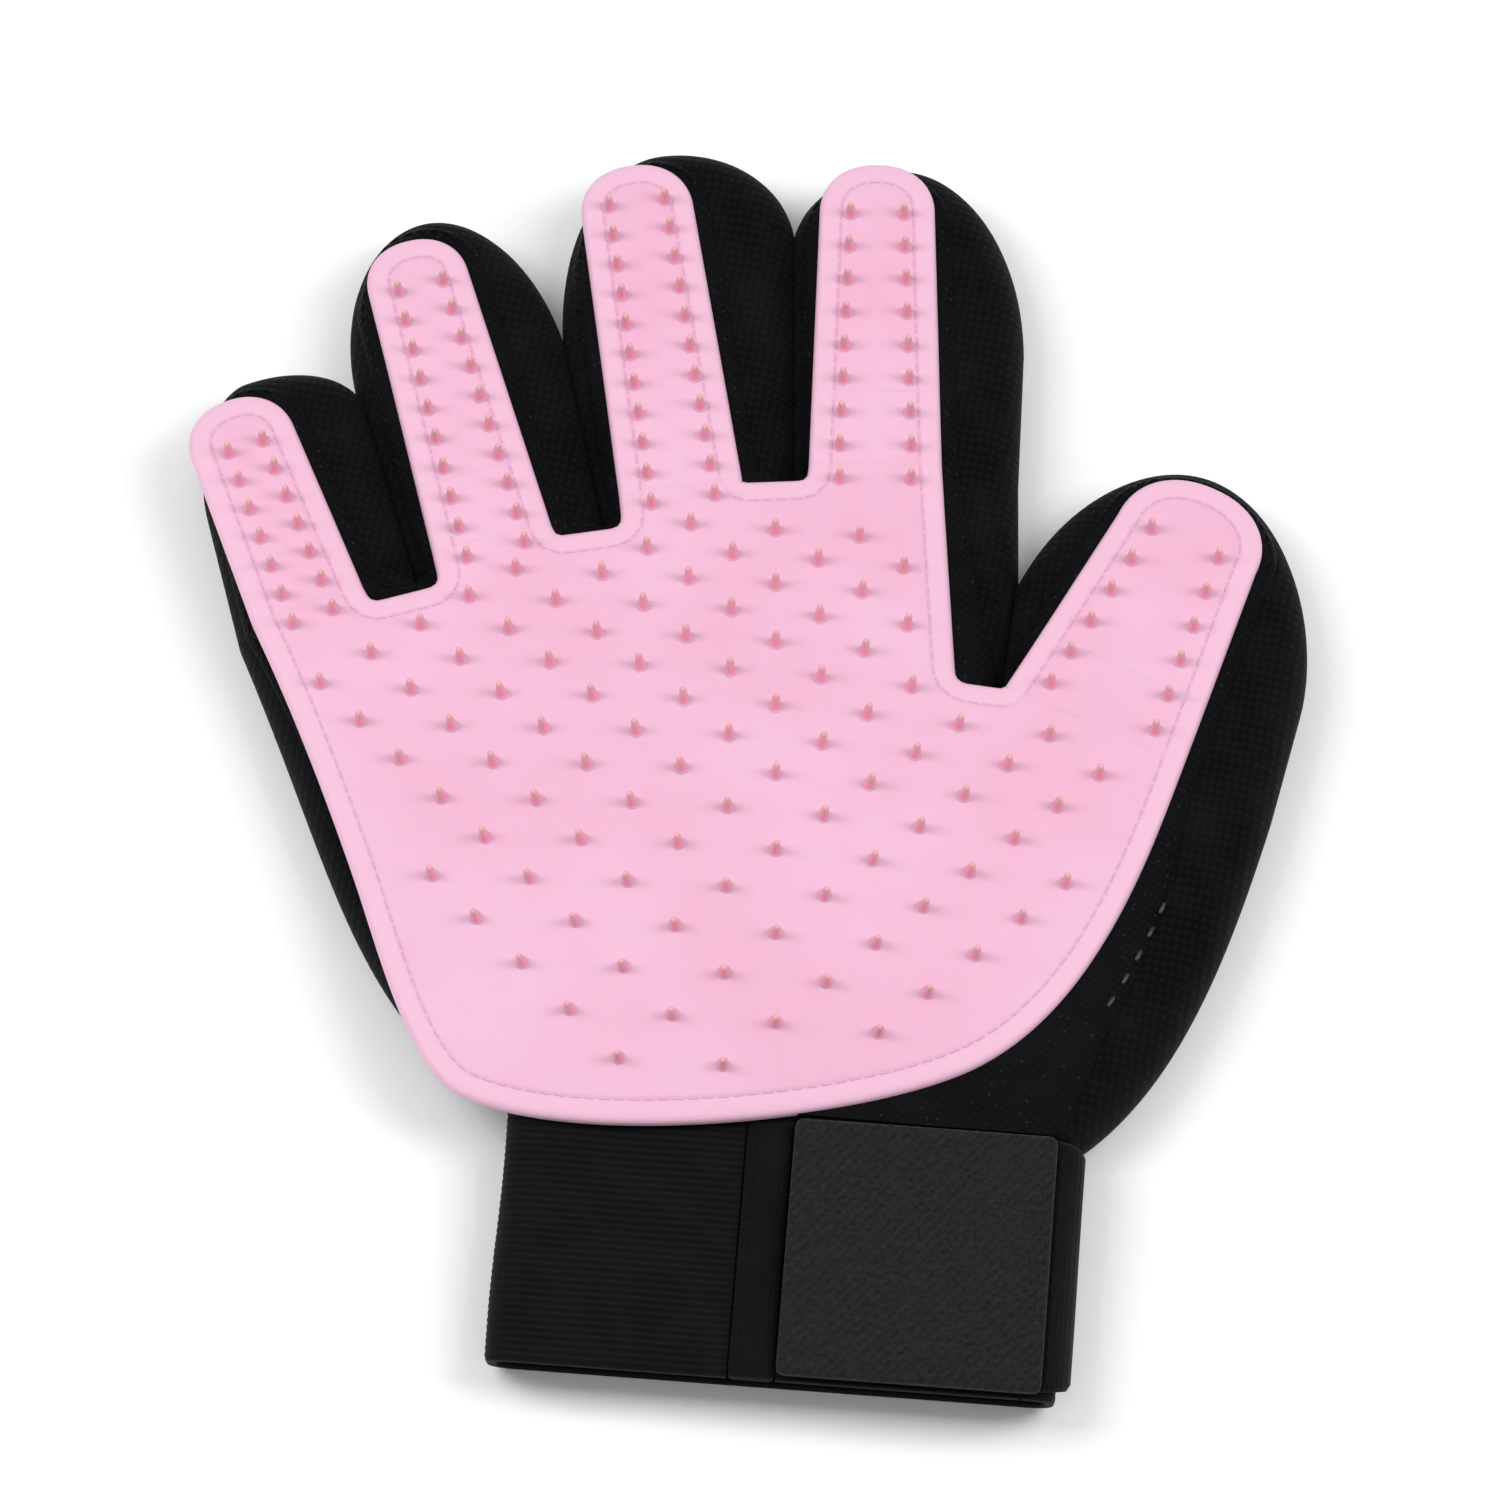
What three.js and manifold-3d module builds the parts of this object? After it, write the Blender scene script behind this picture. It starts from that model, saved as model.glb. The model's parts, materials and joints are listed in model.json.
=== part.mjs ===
// A five-finger pet grooming glove: a soft bristle pad sewn to the palm side of a fabric glove, and an
// elastic cuff that a hook-and-loop tab closes. Millimetres. The glove lies on its back: +Z is up, out of
// the palm, +Y runs from the wrist to the fingertips, and +X is the thumb's side. The origin is the middle
// of the cuff's underside. Each finger bends up from the rest pose along two straight lines across it.
import * as THREE from "three";
import { mergeGeometries, mergeVertices } from "three/addons/utils/BufferGeometryUtils.js";
import Module from "manifold-3d";

const wasm = await Module();
wasm.setup();

// Driving sizes.
const palmLength = 124.8; // from the cuff to the index finger's first bending line
const indexOffset = 5; // how far that line's middle lies to the thumb's side
const fingerPitch = 35.3; // from one finger's first bending line to the next one's
const sleeveGap = 0.5; // between neighbouring fingers there
const thumbDrop = 47.5; // how far the thumb's bending line lies below the index finger's
const thumbReach = 42.6; // and how far out to the side
const sleeveHeight = 17.7; // of the filled-out fabric, under the pad
const sleeveRound = 6.5;
const fabric = 1.6;
const seamDrop = 2.3; // from the top of the sleeve to the seam that joins its two fabrics
const clearance = 0.3; // between neighbouring pieces
const cuffWidth = 101;
const cuffDepth = 48; // along the arm
const cuffDrop = 1.3; // how much lower than the sleeves the cuff is
const cuffRound = 5;
const elastic = 2;
const padThickness = 1.8;
const domeRise = 6.5; // how far the middle of the palm bulges above its edges
const domeRadius = 70;
const bristleHeight = 4;
const bristleFoot = 1.1; // radii
const bristleTip = 0.45;
const bristleMargin = 5.2; // from the pad's edge to the outermost bristles
const bindingWidth = 8; // the strip that closes the elastic's end
const tabWristMargin = 1; // from the tab to the cuff's two rims
const tabPalmMargin = 3.5;
const tabThickness = 1.4;
const patchThickness = 0.7;
const webDepth = 8; // of the fabric posts between the fingers

const cuffTop = cuffDepth / 2;
const cuffHeight = sleeveHeight - cuffDrop;
const seamHeight = sleeveHeight - seamDrop;
const padBottom = sleeveHeight + clearance;
const padTop = padBottom + padThickness;
const endGap = clearance / 2; // each side of a bending line gives up half the gap
const throatLength = webDepth + 4; // how far a finger's hollow runs back into the palm
const domeCentre = new THREE.Vector2(-15, cuffTop + 0.41 * palmLength);

// Where the fabric's outline and the pad's outline bow, across the hand and up from the cuff.
const aboveCuff = (x, height) => new THREE.Vector2(x, cuffTop + height);
const thumbSideBow = [aboveCuff(74, 38), aboveCuff(70, 12)];
const littleSideBow = [aboveCuff(-80, 16), aboveCuff(-85, 42)];
const padThumbBow = [aboveCuff(57, 46), aboveCuff(50, 16), aboveCuff(27.3, 6.1)];
const padWristBow = [aboveCuff(5, -4), aboveCuff(-40, -9), aboveCuff(-59.2, -0.7)];
const padHeelBow = [aboveCuff(-68, 4), aboveCuff(-74, 21), aboveCuff(-80.4, 36.6)];
const padLittleBow = aboveCuff(-92, 64);

// Each finger in its own frame: across it, and along it from its first bending line. lean is the angle of
// its length to the hand's. left and right are the sleeve's reach at the bending line, leftFull and
// rightFull where its rounded end starts, at shoulder. padBase and padTip are the pad's half widths.
// The bristles stand in two columns, gapBase apart at the bending line and gapTip at the last row.
// snug is the reach that leaves sleeveGap to the next finger's left side.
const snug = fingerPitch - 14.6 - sleeveGap;
const thumb = {
  name: "thumb", lean: -21.2, left: 18.5, right: 35, leftFull: 24.5, rightFull: 30.5,
  shoulder: 27, tip: 57, padBase: 17.5, padTip: 14, padLength: 49.3,
  rows: 6, rowsBelow: 3, pitch: 7, gapBase: 20.6, gapTip: 13.2, palmRow: false,
};
const index = {
  name: "index", lean: 3.8, left: 14.6, right: 25.9, leftFull: 15.4, rightFull: 26.5,
  shoulder: 33, tip: 63, padBase: 12, padTip: 10.6, padLength: 57.4,
  rows: 8, rowsBelow: 4, pitch: 6.4, gapBase: 12.8, gapTip: 9.7, palmRow: true,
};
const middle = {
  name: "middle", lean: 12.8, left: 14.6, right: snug, leftFull: 15.4, rightFull: snug + 1.2,
  shoulder: 42, tip: 70, padBase: 11.2, padTip: 10.3, padLength: 62.6,
  rows: 10, rowsBelow: 5, pitch: 5.95, gapBase: 11.5, gapTip: 10.2, palmRow: true,
};
const ring = {
  name: "ring", lean: 19.8, left: 14.6, right: snug, leftFull: 15, rightFull: snug + 0.8,
  shoulder: 39, tip: 66, padBase: 11, padTip: 9.4, padLength: 59.1,
  rows: 9, rowsBelow: 4, pitch: 5.85, gapBase: 10.8, gapTip: 8.4, palmRow: true,
};
const little = {
  name: "little", lean: 25.6, left: 13, right: snug, leftFull: 12.5, rightFull: snug + 0.4,
  shoulder: 25, tip: 50, padBase: 10.5, padTip: 9.8, padLength: 41.6,
  rows: 6, rowsBelow: 3, pitch: 5.9, gapBase: 7.6, gapTip: 6.6, palmRow: true,
};
const fingers = [thumb, index, middle, ring, little];

// The first bending lines step from the index finger down to the little finger.
const stepDown = (from, to, degrees) => {
  const angle = THREE.MathUtils.degToRad(degrees);
  to.base = new THREE.Vector2(-Math.cos(angle), -Math.sin(angle)).multiplyScalar(fingerPitch).add(from.base);
};
index.base = aboveCuff(indexOffset, palmLength);
thumb.base = aboveCuff(indexOffset + thumbReach, palmLength - thumbDrop);
stepDown(index, middle, 11.6);
stepDown(middle, ring, 20.9);
stepDown(ring, little, 26);

// A place in the palm's frame from a finger's own across and along.
function place(finger, across, along) {
  const turned = new THREE.Vector2(across, along);
  return turned.rotateAround(new THREE.Vector2(), THREE.MathUtils.degToRad(finger.lean)).add(finger.base);
}

// --- solids ---

function solidOf(geometry) {
  const bare = geometry.clone();
  bare.deleteAttribute("normal");
  bare.deleteAttribute("uv");
  const merged = mergeVertices(bare, 1e-4);
  const corners = merged.index.array;
  const kept = [];
  for (let i = 0; i < corners.length; i += 3) {
    const [a, b, c] = corners.slice(i, i + 3);
    if (a !== b && b !== c && c !== a) kept.push(a, b, c);
  }
  const vertProperties = merged.attributes.position.array;
  return new wasm.Manifold(new wasm.Mesh({ numProp: 3, vertProperties, triVerts: new Uint32Array(kept) }));
}

function geometryOf(solid) {
  const mesh = solid.getMesh();
  const geometry = new THREE.BufferGeometry();
  geometry.setAttribute("position", new THREE.BufferAttribute(new Float32Array(mesh.vertProperties), 3));
  geometry.setIndex(new THREE.BufferAttribute(new Uint32Array(mesh.triVerts), 1));
  return geometry;
}

function box(low, high) {
  const size = high.map((value, i) => value - low[i]);
  const geometry = new THREE.BoxGeometry(...size);
  return solidOf(geometry.translate(...low.map((value, i) => value + size[i] / 2)));
}

// An outline raised from one height to another, with straight sides.
function slab(outline, low, high) {
  const settings = { depth: high - low, bevelEnabled: false, curveSegments: 10 };
  return solidOf(new THREE.ExtrudeGeometry(outline, settings).translate(0, 0, low));
}

// The same with its rims rounded, as filled-out fabric is.
function pillow(outline, low, high, round) {
  const geometry = new THREE.ExtrudeGeometry(outline, {
    depth: high - low - 2 * round,
    bevelThickness: round,
    bevelSize: round,
    bevelOffset: -round,
    bevelSegments: 2,
    curveSegments: 9,
  });
  return solidOf(geometry.translate(0, 0, low + round));
}

// How far the palm stands above its edges, at a distance from the top of its bulge.
function bulge(distance) {
  const share = Math.min(distance / domeRadius, 1);
  return domeRise * Math.cos((share * Math.PI) / 2) ** 2;
}

// Everything below the palm's bulging surface, whose edges are at the given height.
function underDome(height) {
  const reach = 2 * palmLength;
  const rings = 5;
  const profile = [new THREE.Vector2(0, -1), new THREE.Vector2(reach, -1), new THREE.Vector2(reach, height)];
  for (let i = rings; i >= 0; i--) {
    const distance = (domeRadius * i) / rings;
    profile.push(new THREE.Vector2(distance, height + bulge(distance)));
  }
  const geometry = new THREE.LatheGeometry(profile, 24).rotateX(Math.PI / 2);
  return solidOf(geometry.translate(domeCentre.x, domeCentre.y, 0));
}

// --- materials ---

const looks = {
  silicone: { color: 0xf3bdd5, roughness: 0.55 },
  palmFabric: { color: 0x17171a, roughness: 0.95 },
  mesh: { color: 0x141416, roughness: 0.9 },
  elastic: { color: 0x1a1a1b, roughness: 0.85 },
  binding: { color: 0x202022, roughness: 0.8 },
  loop: { color: 0x26262a, roughness: 1 },
  hook: { color: 0x1c1c1e, roughness: 0.6 },
};

function piece(name, solid, look) {
  const material = new THREE.MeshStandardMaterial({ ...looks[look], metalness: 0, flatShading: true });
  const mesh = new THREE.Mesh(geometryOf(solid), material);
  mesh.name = name;
  return mesh;
}

// --- fingers ---

// The sleeve's outline in the finger's frame, drawn in by inset, with its foot behind the bending line.
function sleeveOutline(finger, inset) {
  const left = -finger.leftFull + inset;
  const right = finger.rightFull - inset;
  const outline = new THREE.Shape();
  outline.moveTo(-finger.left + inset, -throatLength);
  outline.lineTo(finger.right - inset, -throatLength);
  outline.lineTo(finger.right - inset, 0);
  outline.lineTo(right, finger.shoulder);
  const length = finger.tip - finger.shoulder - inset;
  outline.absellipse((left + right) / 2, finger.shoulder, (right - left) / 2, length, 0, Math.PI);
  outline.lineTo(-finger.left + inset, 0);
  return outline;
}

// The finger's hollow, which runs back into the palm.
function hollow(finger) {
  return pillow(sleeveOutline(finger, fabric), fabric, sleeveHeight - fabric, sleeveRound - fabric);
}

function stripOutline(finger) {
  const outline = new THREE.Shape();
  outline.moveTo(-finger.padBase, 0);
  outline.lineTo(finger.padBase, 0);
  outline.absarc(0, finger.padLength - finger.padTip, finger.padTip, 0, Math.PI);
  return outline;
}

// Two bristles side by side for each of the finger's rows, from first to last. Row 0 is half a pitch past
// the bending line, so the bristles beside a bending line are as far from it as they can be.
function bristlePlaces(finger, first, last) {
  const places = [];
  for (let row = first; row < last; row++) {
    const gap = THREE.MathUtils.lerp(finger.gapBase, finger.gapTip, Math.max(row, 0) / (finger.rows - 1));
    const along = (row + 0.5) * finger.pitch;
    places.push(new THREE.Vector2(-gap / 2, along), new THREE.Vector2(gap / 2, along));
  }
  return places;
}

// Bristles standing on a surface, each sunk a little into it. heightAt gives the surface's height.
function bristles(places, heightAt) {
  const sunk = 0.6;
  const length = bristleHeight + sunk;
  const cones = places.map((spot) => {
    const cone = new THREE.CylinderGeometry(bristleTip, bristleFoot, length, 5).rotateX(Math.PI / 2);
    return cone.translate(spot.x, spot.y, heightAt(spot) + length / 2 - sunk);
  });
  return solidOf(mergeGeometries(cones));
}

// One stretch of a finger, between two places along it: sleeve, palm strip and pad.
function fingerStretch(finger, stretch, from, to, firstRow, lastRow) {
  const reach = 2 * (finger.left + finger.right);
  const part = (low, high) => box([-reach, from + endGap, low], [reach, to - endGap, high]);
  const tube = pillow(sleeveOutline(finger, 0), 0, sleeveHeight, sleeveRound).subtract(hollow(finger));
  const sleeve = tube.intersect(part(-1, seamHeight - endGap));
  const strip = tube.intersect(part(seamHeight + endGap, sleeveHeight + 1));
  const plate = slab(stripOutline(finger), padBottom, padTop).intersect(part(0, padTop + 1));
  const pad = plate.add(bristles(bristlePlaces(finger, firstRow, lastRow), () => padTop));
  const name = `${finger.name}_${stretch}`;
  const group = new THREE.Group();
  group.add(piece(`${name}_sleeve`, sleeve, "mesh"));
  group.add(piece(`${name}_palm_strip`, strip, "palmFabric"));
  group.add(piece(`${name}_pad`, pad, "silicone"));
  return group;
}

function fingerGroup(finger) {
  const bend = finger.rowsBelow * finger.pitch;
  const group = new THREE.Group();
  group.add(fingerStretch(finger, "lower", 0, bend, 0, finger.rowsBelow));
  group.add(fingerStretch(finger, "tip", bend, finger.tip + 1, finger.rowsBelow, finger.rows));
  group.position.set(finger.base.x, finger.base.y, 0);
  group.rotation.z = THREE.MathUtils.degToRad(finger.lean);
  return group;
}

// --- palm ---

// The palm's outline, drawn in by inset at its sides and by setBack at the fingers, down to a wrist line.
function palmOutline(inset, setBack, wrist) {
  const half = cuffWidth / 2 - inset;
  const at = (finger, across) => place(finger, across, -setBack);
  const side = new THREE.Vector2(inset, 0);
  const thumbBow = thumbSideBow.map((point) => point.clone().sub(side));
  const littleBow = littleSideBow.map((point) => point.clone().add(side));
  const thumbEnd = at(thumb, thumb.right - inset);
  const start = new THREE.Vector2(half, wrist);
  const finish = new THREE.Vector2(-half, wrist);
  const littleEnd = at(little, -little.left + inset);
  const crotch = place(index, index.right - 4 - inset, thumb.base.y - index.base.y + 9);
  const outline = new THREE.Shape();
  outline.moveTo(start.x, start.y);
  outline.lineTo(start.x, cuffTop + endGap);
  outline.bezierCurveTo(...xy(thumbBow[1]), ...xy(thumbBow[0]), ...xy(thumbEnd));
  outline.lineTo(...xy(at(thumb, -thumb.left + inset)));
  outline.lineTo(...xy(crotch));
  outline.lineTo(...xy(at(index, index.right - inset)));
  outline.lineTo(...xy(at(index, -index.left)));
  for (const finger of [middle, ring]) {
    outline.lineTo(...xy(at(finger, finger.right)));
    outline.lineTo(...xy(at(finger, -finger.left)));
  }
  outline.lineTo(...xy(at(little, little.right)));
  outline.lineTo(...xy(littleEnd));
  outline.bezierCurveTo(...xy(littleBow[1]), ...xy(littleBow[0]), finish.x, cuffTop + endGap);
  outline.lineTo(finish.x, finish.y);
  return outline;
}

function xy(point) {
  return [point.x, point.y];
}

// The palm pad's outline: a short stub up to each bending line, with a notch between neighbours.
function padOutline() {
  const notchDepth = { thumb: [0.6, 0], index: [2.9, 0], middle: [6, 0.5], ring: [6.1, 2.4], little: [0, 3.4] };
  const corner = (finger, sign) => place(finger, sign * finger.padBase, -endGap);
  const notch = (finger, sign) => {
    const depth = notchDepth[finger.name][sign < 0 ? 0 : 1];
    return place(finger, sign * (finger.padBase + 0.3), -depth - endGap);
  };
  const thumbNotch = place(index, index.padBase + 2.6, thumb.base.y - index.base.y + 5);
  const outline = new THREE.Shape();
  outline.moveTo(...xy(corner(thumb, 1)));
  outline.lineTo(...xy(corner(thumb, -1)));
  outline.lineTo(...xy(notch(thumb, -1)));
  outline.lineTo(...xy(thumbNotch));
  outline.lineTo(...xy(corner(index, 1)));
  outline.lineTo(...xy(corner(index, -1)));
  outline.lineTo(...xy(notch(index, -1)));
  for (const finger of [middle, ring]) {
    outline.lineTo(...xy(notch(finger, 1)));
    outline.lineTo(...xy(corner(finger, 1)));
    outline.lineTo(...xy(corner(finger, -1)));
    outline.lineTo(...xy(notch(finger, -1)));
  }
  outline.lineTo(...xy(notch(little, 1)));
  outline.lineTo(...xy(corner(little, 1)));
  outline.lineTo(...xy(corner(little, -1)));
  outline.quadraticCurveTo(...xy(padLittleBow), ...xy(padHeelBow[2]));
  outline.bezierCurveTo(...xy(padHeelBow[1]), ...xy(padHeelBow[0]), ...xy(padWristBow[2]));
  outline.bezierCurveTo(...xy(padWristBow[1]), ...xy(padWristBow[0]), ...xy(padThumbBow[2]));
  outline.bezierCurveTo(...xy(padThumbBow[1]), ...xy(padThumbBow[0]), ...xy(corner(thumb, 1)));
  return outline;
}

// Whether a spot lies inside a closed row of points, and no nearer than margin to its edge.
function wellInside(spot, points, margin) {
  let inside = false;
  let nearest = Infinity;
  const closest = new THREE.Vector3();
  points.forEach((a, i) => {
    const b = points[(i + 1) % points.length];
    const crosses = a.y > spot.y !== b.y > spot.y;
    if (crosses && spot.x < a.x + ((b.x - a.x) * (spot.y - a.y)) / (b.y - a.y)) inside = !inside;
    const edge = new THREE.Line3(new THREE.Vector3(a.x, a.y, 0), new THREE.Vector3(b.x, b.y, 0));
    edge.closestPointToPoint(new THREE.Vector3(spot.x, spot.y, 0), true, closest);
    nearest = Math.min(nearest, Math.hypot(closest.x - spot.x, closest.y - spot.y));
  });
  return inside && nearest >= margin;
}

// The palm's bristles: the rows that lead into the fingers, then a staggered field whose rows and columns
// open out towards the wrist.
function palmBristles(points) {
  const places = [];
  for (const finger of fingers.filter((each) => each.palmRow)) {
    for (const spot of bristlePlaces(finger, -1, 0)) places.push(place(finger, spot.x, spot.y));
  }
  const fieldTop = index.base.y - 14.9;
  const straightColumn = -49.8; // the one column that doesn't lean as the columns open out
  const nearestNeighbour = 5;
  for (let row = 0; row < 24; row++) {
    const y = fieldTop - 5.35 * row - 0.1 * row ** 2;
    const columnPitch = 7.58 + 0.0155 * (fieldTop - y);
    for (let column = -15 + (row % 2); column <= 21; column += 2) {
      const spot = new THREE.Vector2(straightColumn + column * columnPitch, y);
      const crowded = places.some((other) => other.distanceTo(spot) < nearestNeighbour);
      if (!crowded && wellInside(spot, points, bristleMargin)) places.push(spot);
    }
  }
  return places;
}

function palmPad() {
  const outline = padOutline();
  const column = slab(outline, 0, padTop + domeRise + 1);
  const plate = column.intersect(underDome(padTop)).subtract(underDome(padBottom));
  const heightAt = (spot) => padTop + bulge(spot.distanceTo(domeCentre));
  return plate.add(bristles(palmBristles(outline.getPoints(10)), heightAt));
}

function palmGroup() {
  const outline = palmOutline(0, endGap, cuffTop + endGap);
  const inner = palmOutline(fabric, webDepth, cuffTop - 5);
  const wallTop = seamHeight - endGap;
  const group = new THREE.Group();
  group.add(piece("palm_pad", palmPad(), "silicone"));
  const top = sleeveHeight + domeRise + 1;
  const panel = slab(outline, seamHeight + endGap, top).intersect(underDome(sleeveHeight));
  group.add(piece("palm_panel", panel.subtract(underDome(sleeveHeight - fabric)), "palmFabric"));
  group.add(piece("back_panel", slab(outline, 0, fabric), "mesh"));
  let walls = slab(outline, fabric + clearance, wallTop).subtract(slab(inner, 0, sleeveHeight));
  for (const finger of fingers) walls = walls.subtract(throat(finger));
  const names = [
    "little_side_gusset", "little_ring_web", "ring_middle_web",
    "middle_index_web", "index_thumb_web", "thumb_side_gusset",
  ];
  const middleX = (wall) => (wall.boundingBox().min[0] + wall.boundingBox().max[0]) / 2;
  const posts = walls.decompose().sort((a, b) => middleX(a) - middleX(b));
  posts.forEach((post, i) => group.add(piece(names[i], post, "mesh")));
  return group;
}

// A finger's hollow with straight sides, in the palm's frame, where it cuts the palm's walls.
function throat(finger) {
  const outline = new THREE.Shape();
  const corners = [
    [-finger.left + fabric, -throatLength], [finger.right - fabric, -throatLength],
    [finger.right - fabric, 5], [-finger.left + fabric, 5],
  ];
  outline.setFromPoints(corners.map(([across, along]) => place(finger, across, along)));
  return slab(outline, 0, sleeveHeight);
}

// --- cuff ---

// A piece of the cuff: a profile across the wrist, drawn in X and Z, that runs along the arm.
function cuffPiece(name, profile, from, to, look) {
  const settings = { depth: to - from, bevelEnabled: false, curveSegments: 6 };
  const mesh = piece(name, solidOf(new THREE.ExtrudeGeometry(profile, settings)), look);
  mesh.position.y = to;
  mesh.rotation.x = Math.PI / 2;
  return mesh;
}

function rectangle(left, right, low, high) {
  const corners = [[left, low], [right, low], [right, high], [left, high]];
  return new THREE.Shape(corners.map(([x, z]) => new THREE.Vector2(x, z)));
}

// The elastic runs from the binding round the little finger's side, the back and the thumb's side.
function elasticProfile(leftEnd, rightEnd) {
  const half = cuffWidth / 2;
  const inner = cuffRound - elastic;
  const right = half - cuffRound;
  const top = cuffHeight - cuffRound;
  const quarter = Math.PI / 2;
  const profile = new THREE.Shape();
  profile.moveTo(leftEnd, cuffHeight);
  profile.absarc(-right, top, cuffRound, quarter, 2 * quarter);
  profile.absarc(-right, cuffRound, cuffRound, 2 * quarter, 3 * quarter);
  profile.absarc(right, cuffRound, cuffRound, 3 * quarter, 4 * quarter);
  profile.absarc(right, top, cuffRound, 0, quarter);
  profile.lineTo(rightEnd, cuffHeight);
  profile.lineTo(rightEnd, cuffHeight - elastic);
  profile.absarc(right, top, inner, quarter, 0, true);
  profile.absarc(right, cuffRound, inner, 4 * quarter, 3 * quarter, true);
  profile.absarc(-right, cuffRound, inner, 3 * quarter, 2 * quarter, true);
  profile.absarc(-right, top, inner, 2 * quarter, quarter, true);
  profile.lineTo(leftEnd, cuffHeight - elastic);
  return profile;
}

// The tab's fixed edge, folded over the cuff's corner on the thumb's side.
function sewnEdgeProfile() {
  const x = cuffWidth / 2 - cuffRound;
  const z = cuffHeight - cuffRound;
  const inner = cuffRound + clearance;
  const outer = inner + tabThickness + patchThickness;
  const profile = new THREE.Shape();
  profile.absarc(x, z, outer, 0, Math.PI * 0.42);
  profile.absarc(x, z, inner, Math.PI * 0.42, 0, true);
  return profile;
}

function cuffGroup() {
  const under = cuffHeight - elastic;
  const tabHinge = cuffWidth / 2 - cuffRound + 1.1;
  const fixedEdge = tabHinge - 3.6;
  const low = -cuffTop;
  const tabLow = low + tabWristMargin;
  const tabHigh = cuffTop - tabPalmMargin;
  const group = new THREE.Group();
  const front = rectangle(clearance, fixedEdge - clearance, under, cuffHeight);
  const binding = rectangle(-bindingWidth, 0, under, cuffHeight + patchThickness);
  const loopLow = cuffHeight + clearance;
  const loop = rectangle(2, fixedEdge - 2, loopLow, loopLow + patchThickness);
  const elasticEnd = -bindingWidth - clearance;
  group.add(cuffPiece("cuff_elastic", elasticProfile(elasticEnd, fixedEdge), low, cuffTop, "elastic"));
  group.add(cuffPiece("cuff_end_binding", binding, low, cuffTop, "binding"));
  group.add(cuffPiece("cuff_front_panel", front, low, cuffTop, "palmFabric"));
  group.add(cuffPiece("cuff_loop_patch", loop, tabLow + 1, tabHigh - 1, "loop"));
  group.add(cuffPiece("tab_sewn_edge", sewnEdgeProfile(), tabLow, tabHigh, "binding"));
  const hookLow = loopLow + patchThickness + clearance;
  const hook = rectangle(2, fixedEdge - 3, hookLow, hookLow + patchThickness);
  const panelLow = hookLow + patchThickness + clearance;
  const panel = rectangle(clearance, tabHinge - clearance, panelLow, panelLow + tabThickness);
  group.add(cuffPiece("tab_hook_patch", hook, tabLow + 2, tabHigh - 2, "hook"));
  group.add(cuffPiece("tab_panel", panel, tabLow, tabHigh, "loop"));
  return group;
}

const glove = new THREE.Group();
glove.add(palmGroup());
for (const finger of fingers) glove.add(fingerGroup(finger));
glove.add(cuffGroup());

export default glove;
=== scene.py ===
# %% [markdown]
# # A grooming glove: soft bristle pad, fabric glove, elastic cuff
#
# The glove lies on its back with the palm up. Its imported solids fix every
# size and every bending line. This lesson builds the visible cloth, silicone
# and elastic around them, one piece at a time.

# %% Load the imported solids
import json
import math

import bpy
import numpy as np
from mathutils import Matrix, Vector
from mathutils.geometry import delaunay_2d_cdt


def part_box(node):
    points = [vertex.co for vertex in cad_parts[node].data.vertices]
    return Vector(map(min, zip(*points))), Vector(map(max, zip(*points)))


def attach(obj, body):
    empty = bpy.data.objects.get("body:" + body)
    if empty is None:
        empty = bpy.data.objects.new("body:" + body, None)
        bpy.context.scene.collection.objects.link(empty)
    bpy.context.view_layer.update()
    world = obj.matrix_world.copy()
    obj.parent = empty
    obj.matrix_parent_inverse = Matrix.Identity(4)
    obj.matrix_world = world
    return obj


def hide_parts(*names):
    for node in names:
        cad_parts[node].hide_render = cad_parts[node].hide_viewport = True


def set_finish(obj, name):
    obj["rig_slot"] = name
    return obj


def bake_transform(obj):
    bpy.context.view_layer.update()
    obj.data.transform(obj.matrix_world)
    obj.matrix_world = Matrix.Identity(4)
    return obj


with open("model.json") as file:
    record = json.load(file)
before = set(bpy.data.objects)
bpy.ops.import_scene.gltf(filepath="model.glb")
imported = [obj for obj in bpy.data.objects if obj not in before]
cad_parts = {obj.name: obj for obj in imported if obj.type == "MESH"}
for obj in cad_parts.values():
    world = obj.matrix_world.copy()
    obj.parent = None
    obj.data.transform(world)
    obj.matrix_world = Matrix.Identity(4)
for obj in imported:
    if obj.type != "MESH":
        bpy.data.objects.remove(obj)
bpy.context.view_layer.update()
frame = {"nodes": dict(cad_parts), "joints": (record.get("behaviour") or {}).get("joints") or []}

MM = 0.001

# %% [markdown]
# ## The fingers' own directions
#
# Each finger is its own small coordinate system: a point on its first bending
# line, a direction across the finger and one along it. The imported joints
# already hold all three, so nothing is measured twice. All building is done in
# millimetres, and each mesh is scaled to metres when it is made.

# %% Finger directions from the joints
JOINTS = {joint["name"]: joint for joint in frame["joints"]}


class Finger:
    """A finger's place and directions on the lying glove, in millimetres."""

    def __init__(self, name):
        knuckle = JOINTS[name + "_knuckle_bend"]
        middle = JOINTS[name + "_middle_bend"]
        self.base = np.array(knuckle["pos_m"][:2]) / MM
        self.across = np.array(knuckle["axis"][:2])
        self.along = np.array([-self.across[1], self.across[0]])
        self.bend = float((np.array(middle["pos_m"][:2]) / MM - self.base) @ self.along)

    def at(self, u, s):
        """Points from distances across (u) and along (s) the finger."""
        u, s = np.broadcast_arrays(np.asarray(u, float), np.asarray(s, float))
        return self.base + u[..., None] * self.across + s[..., None] * self.along

    def local(self, points):
        """The way back: (u, s) of points on the plane."""
        away = np.asarray(points, float) - self.base
        return np.stack([away @ self.across, away @ self.along], -1)


NAMES = ["little", "ring", "middle", "index", "thumb"]
NEIGHBOURS = list(zip(NAMES[:3], NAMES[1:4]))
FINGERS = {name: Finger(name) for name in NAMES}


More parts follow.
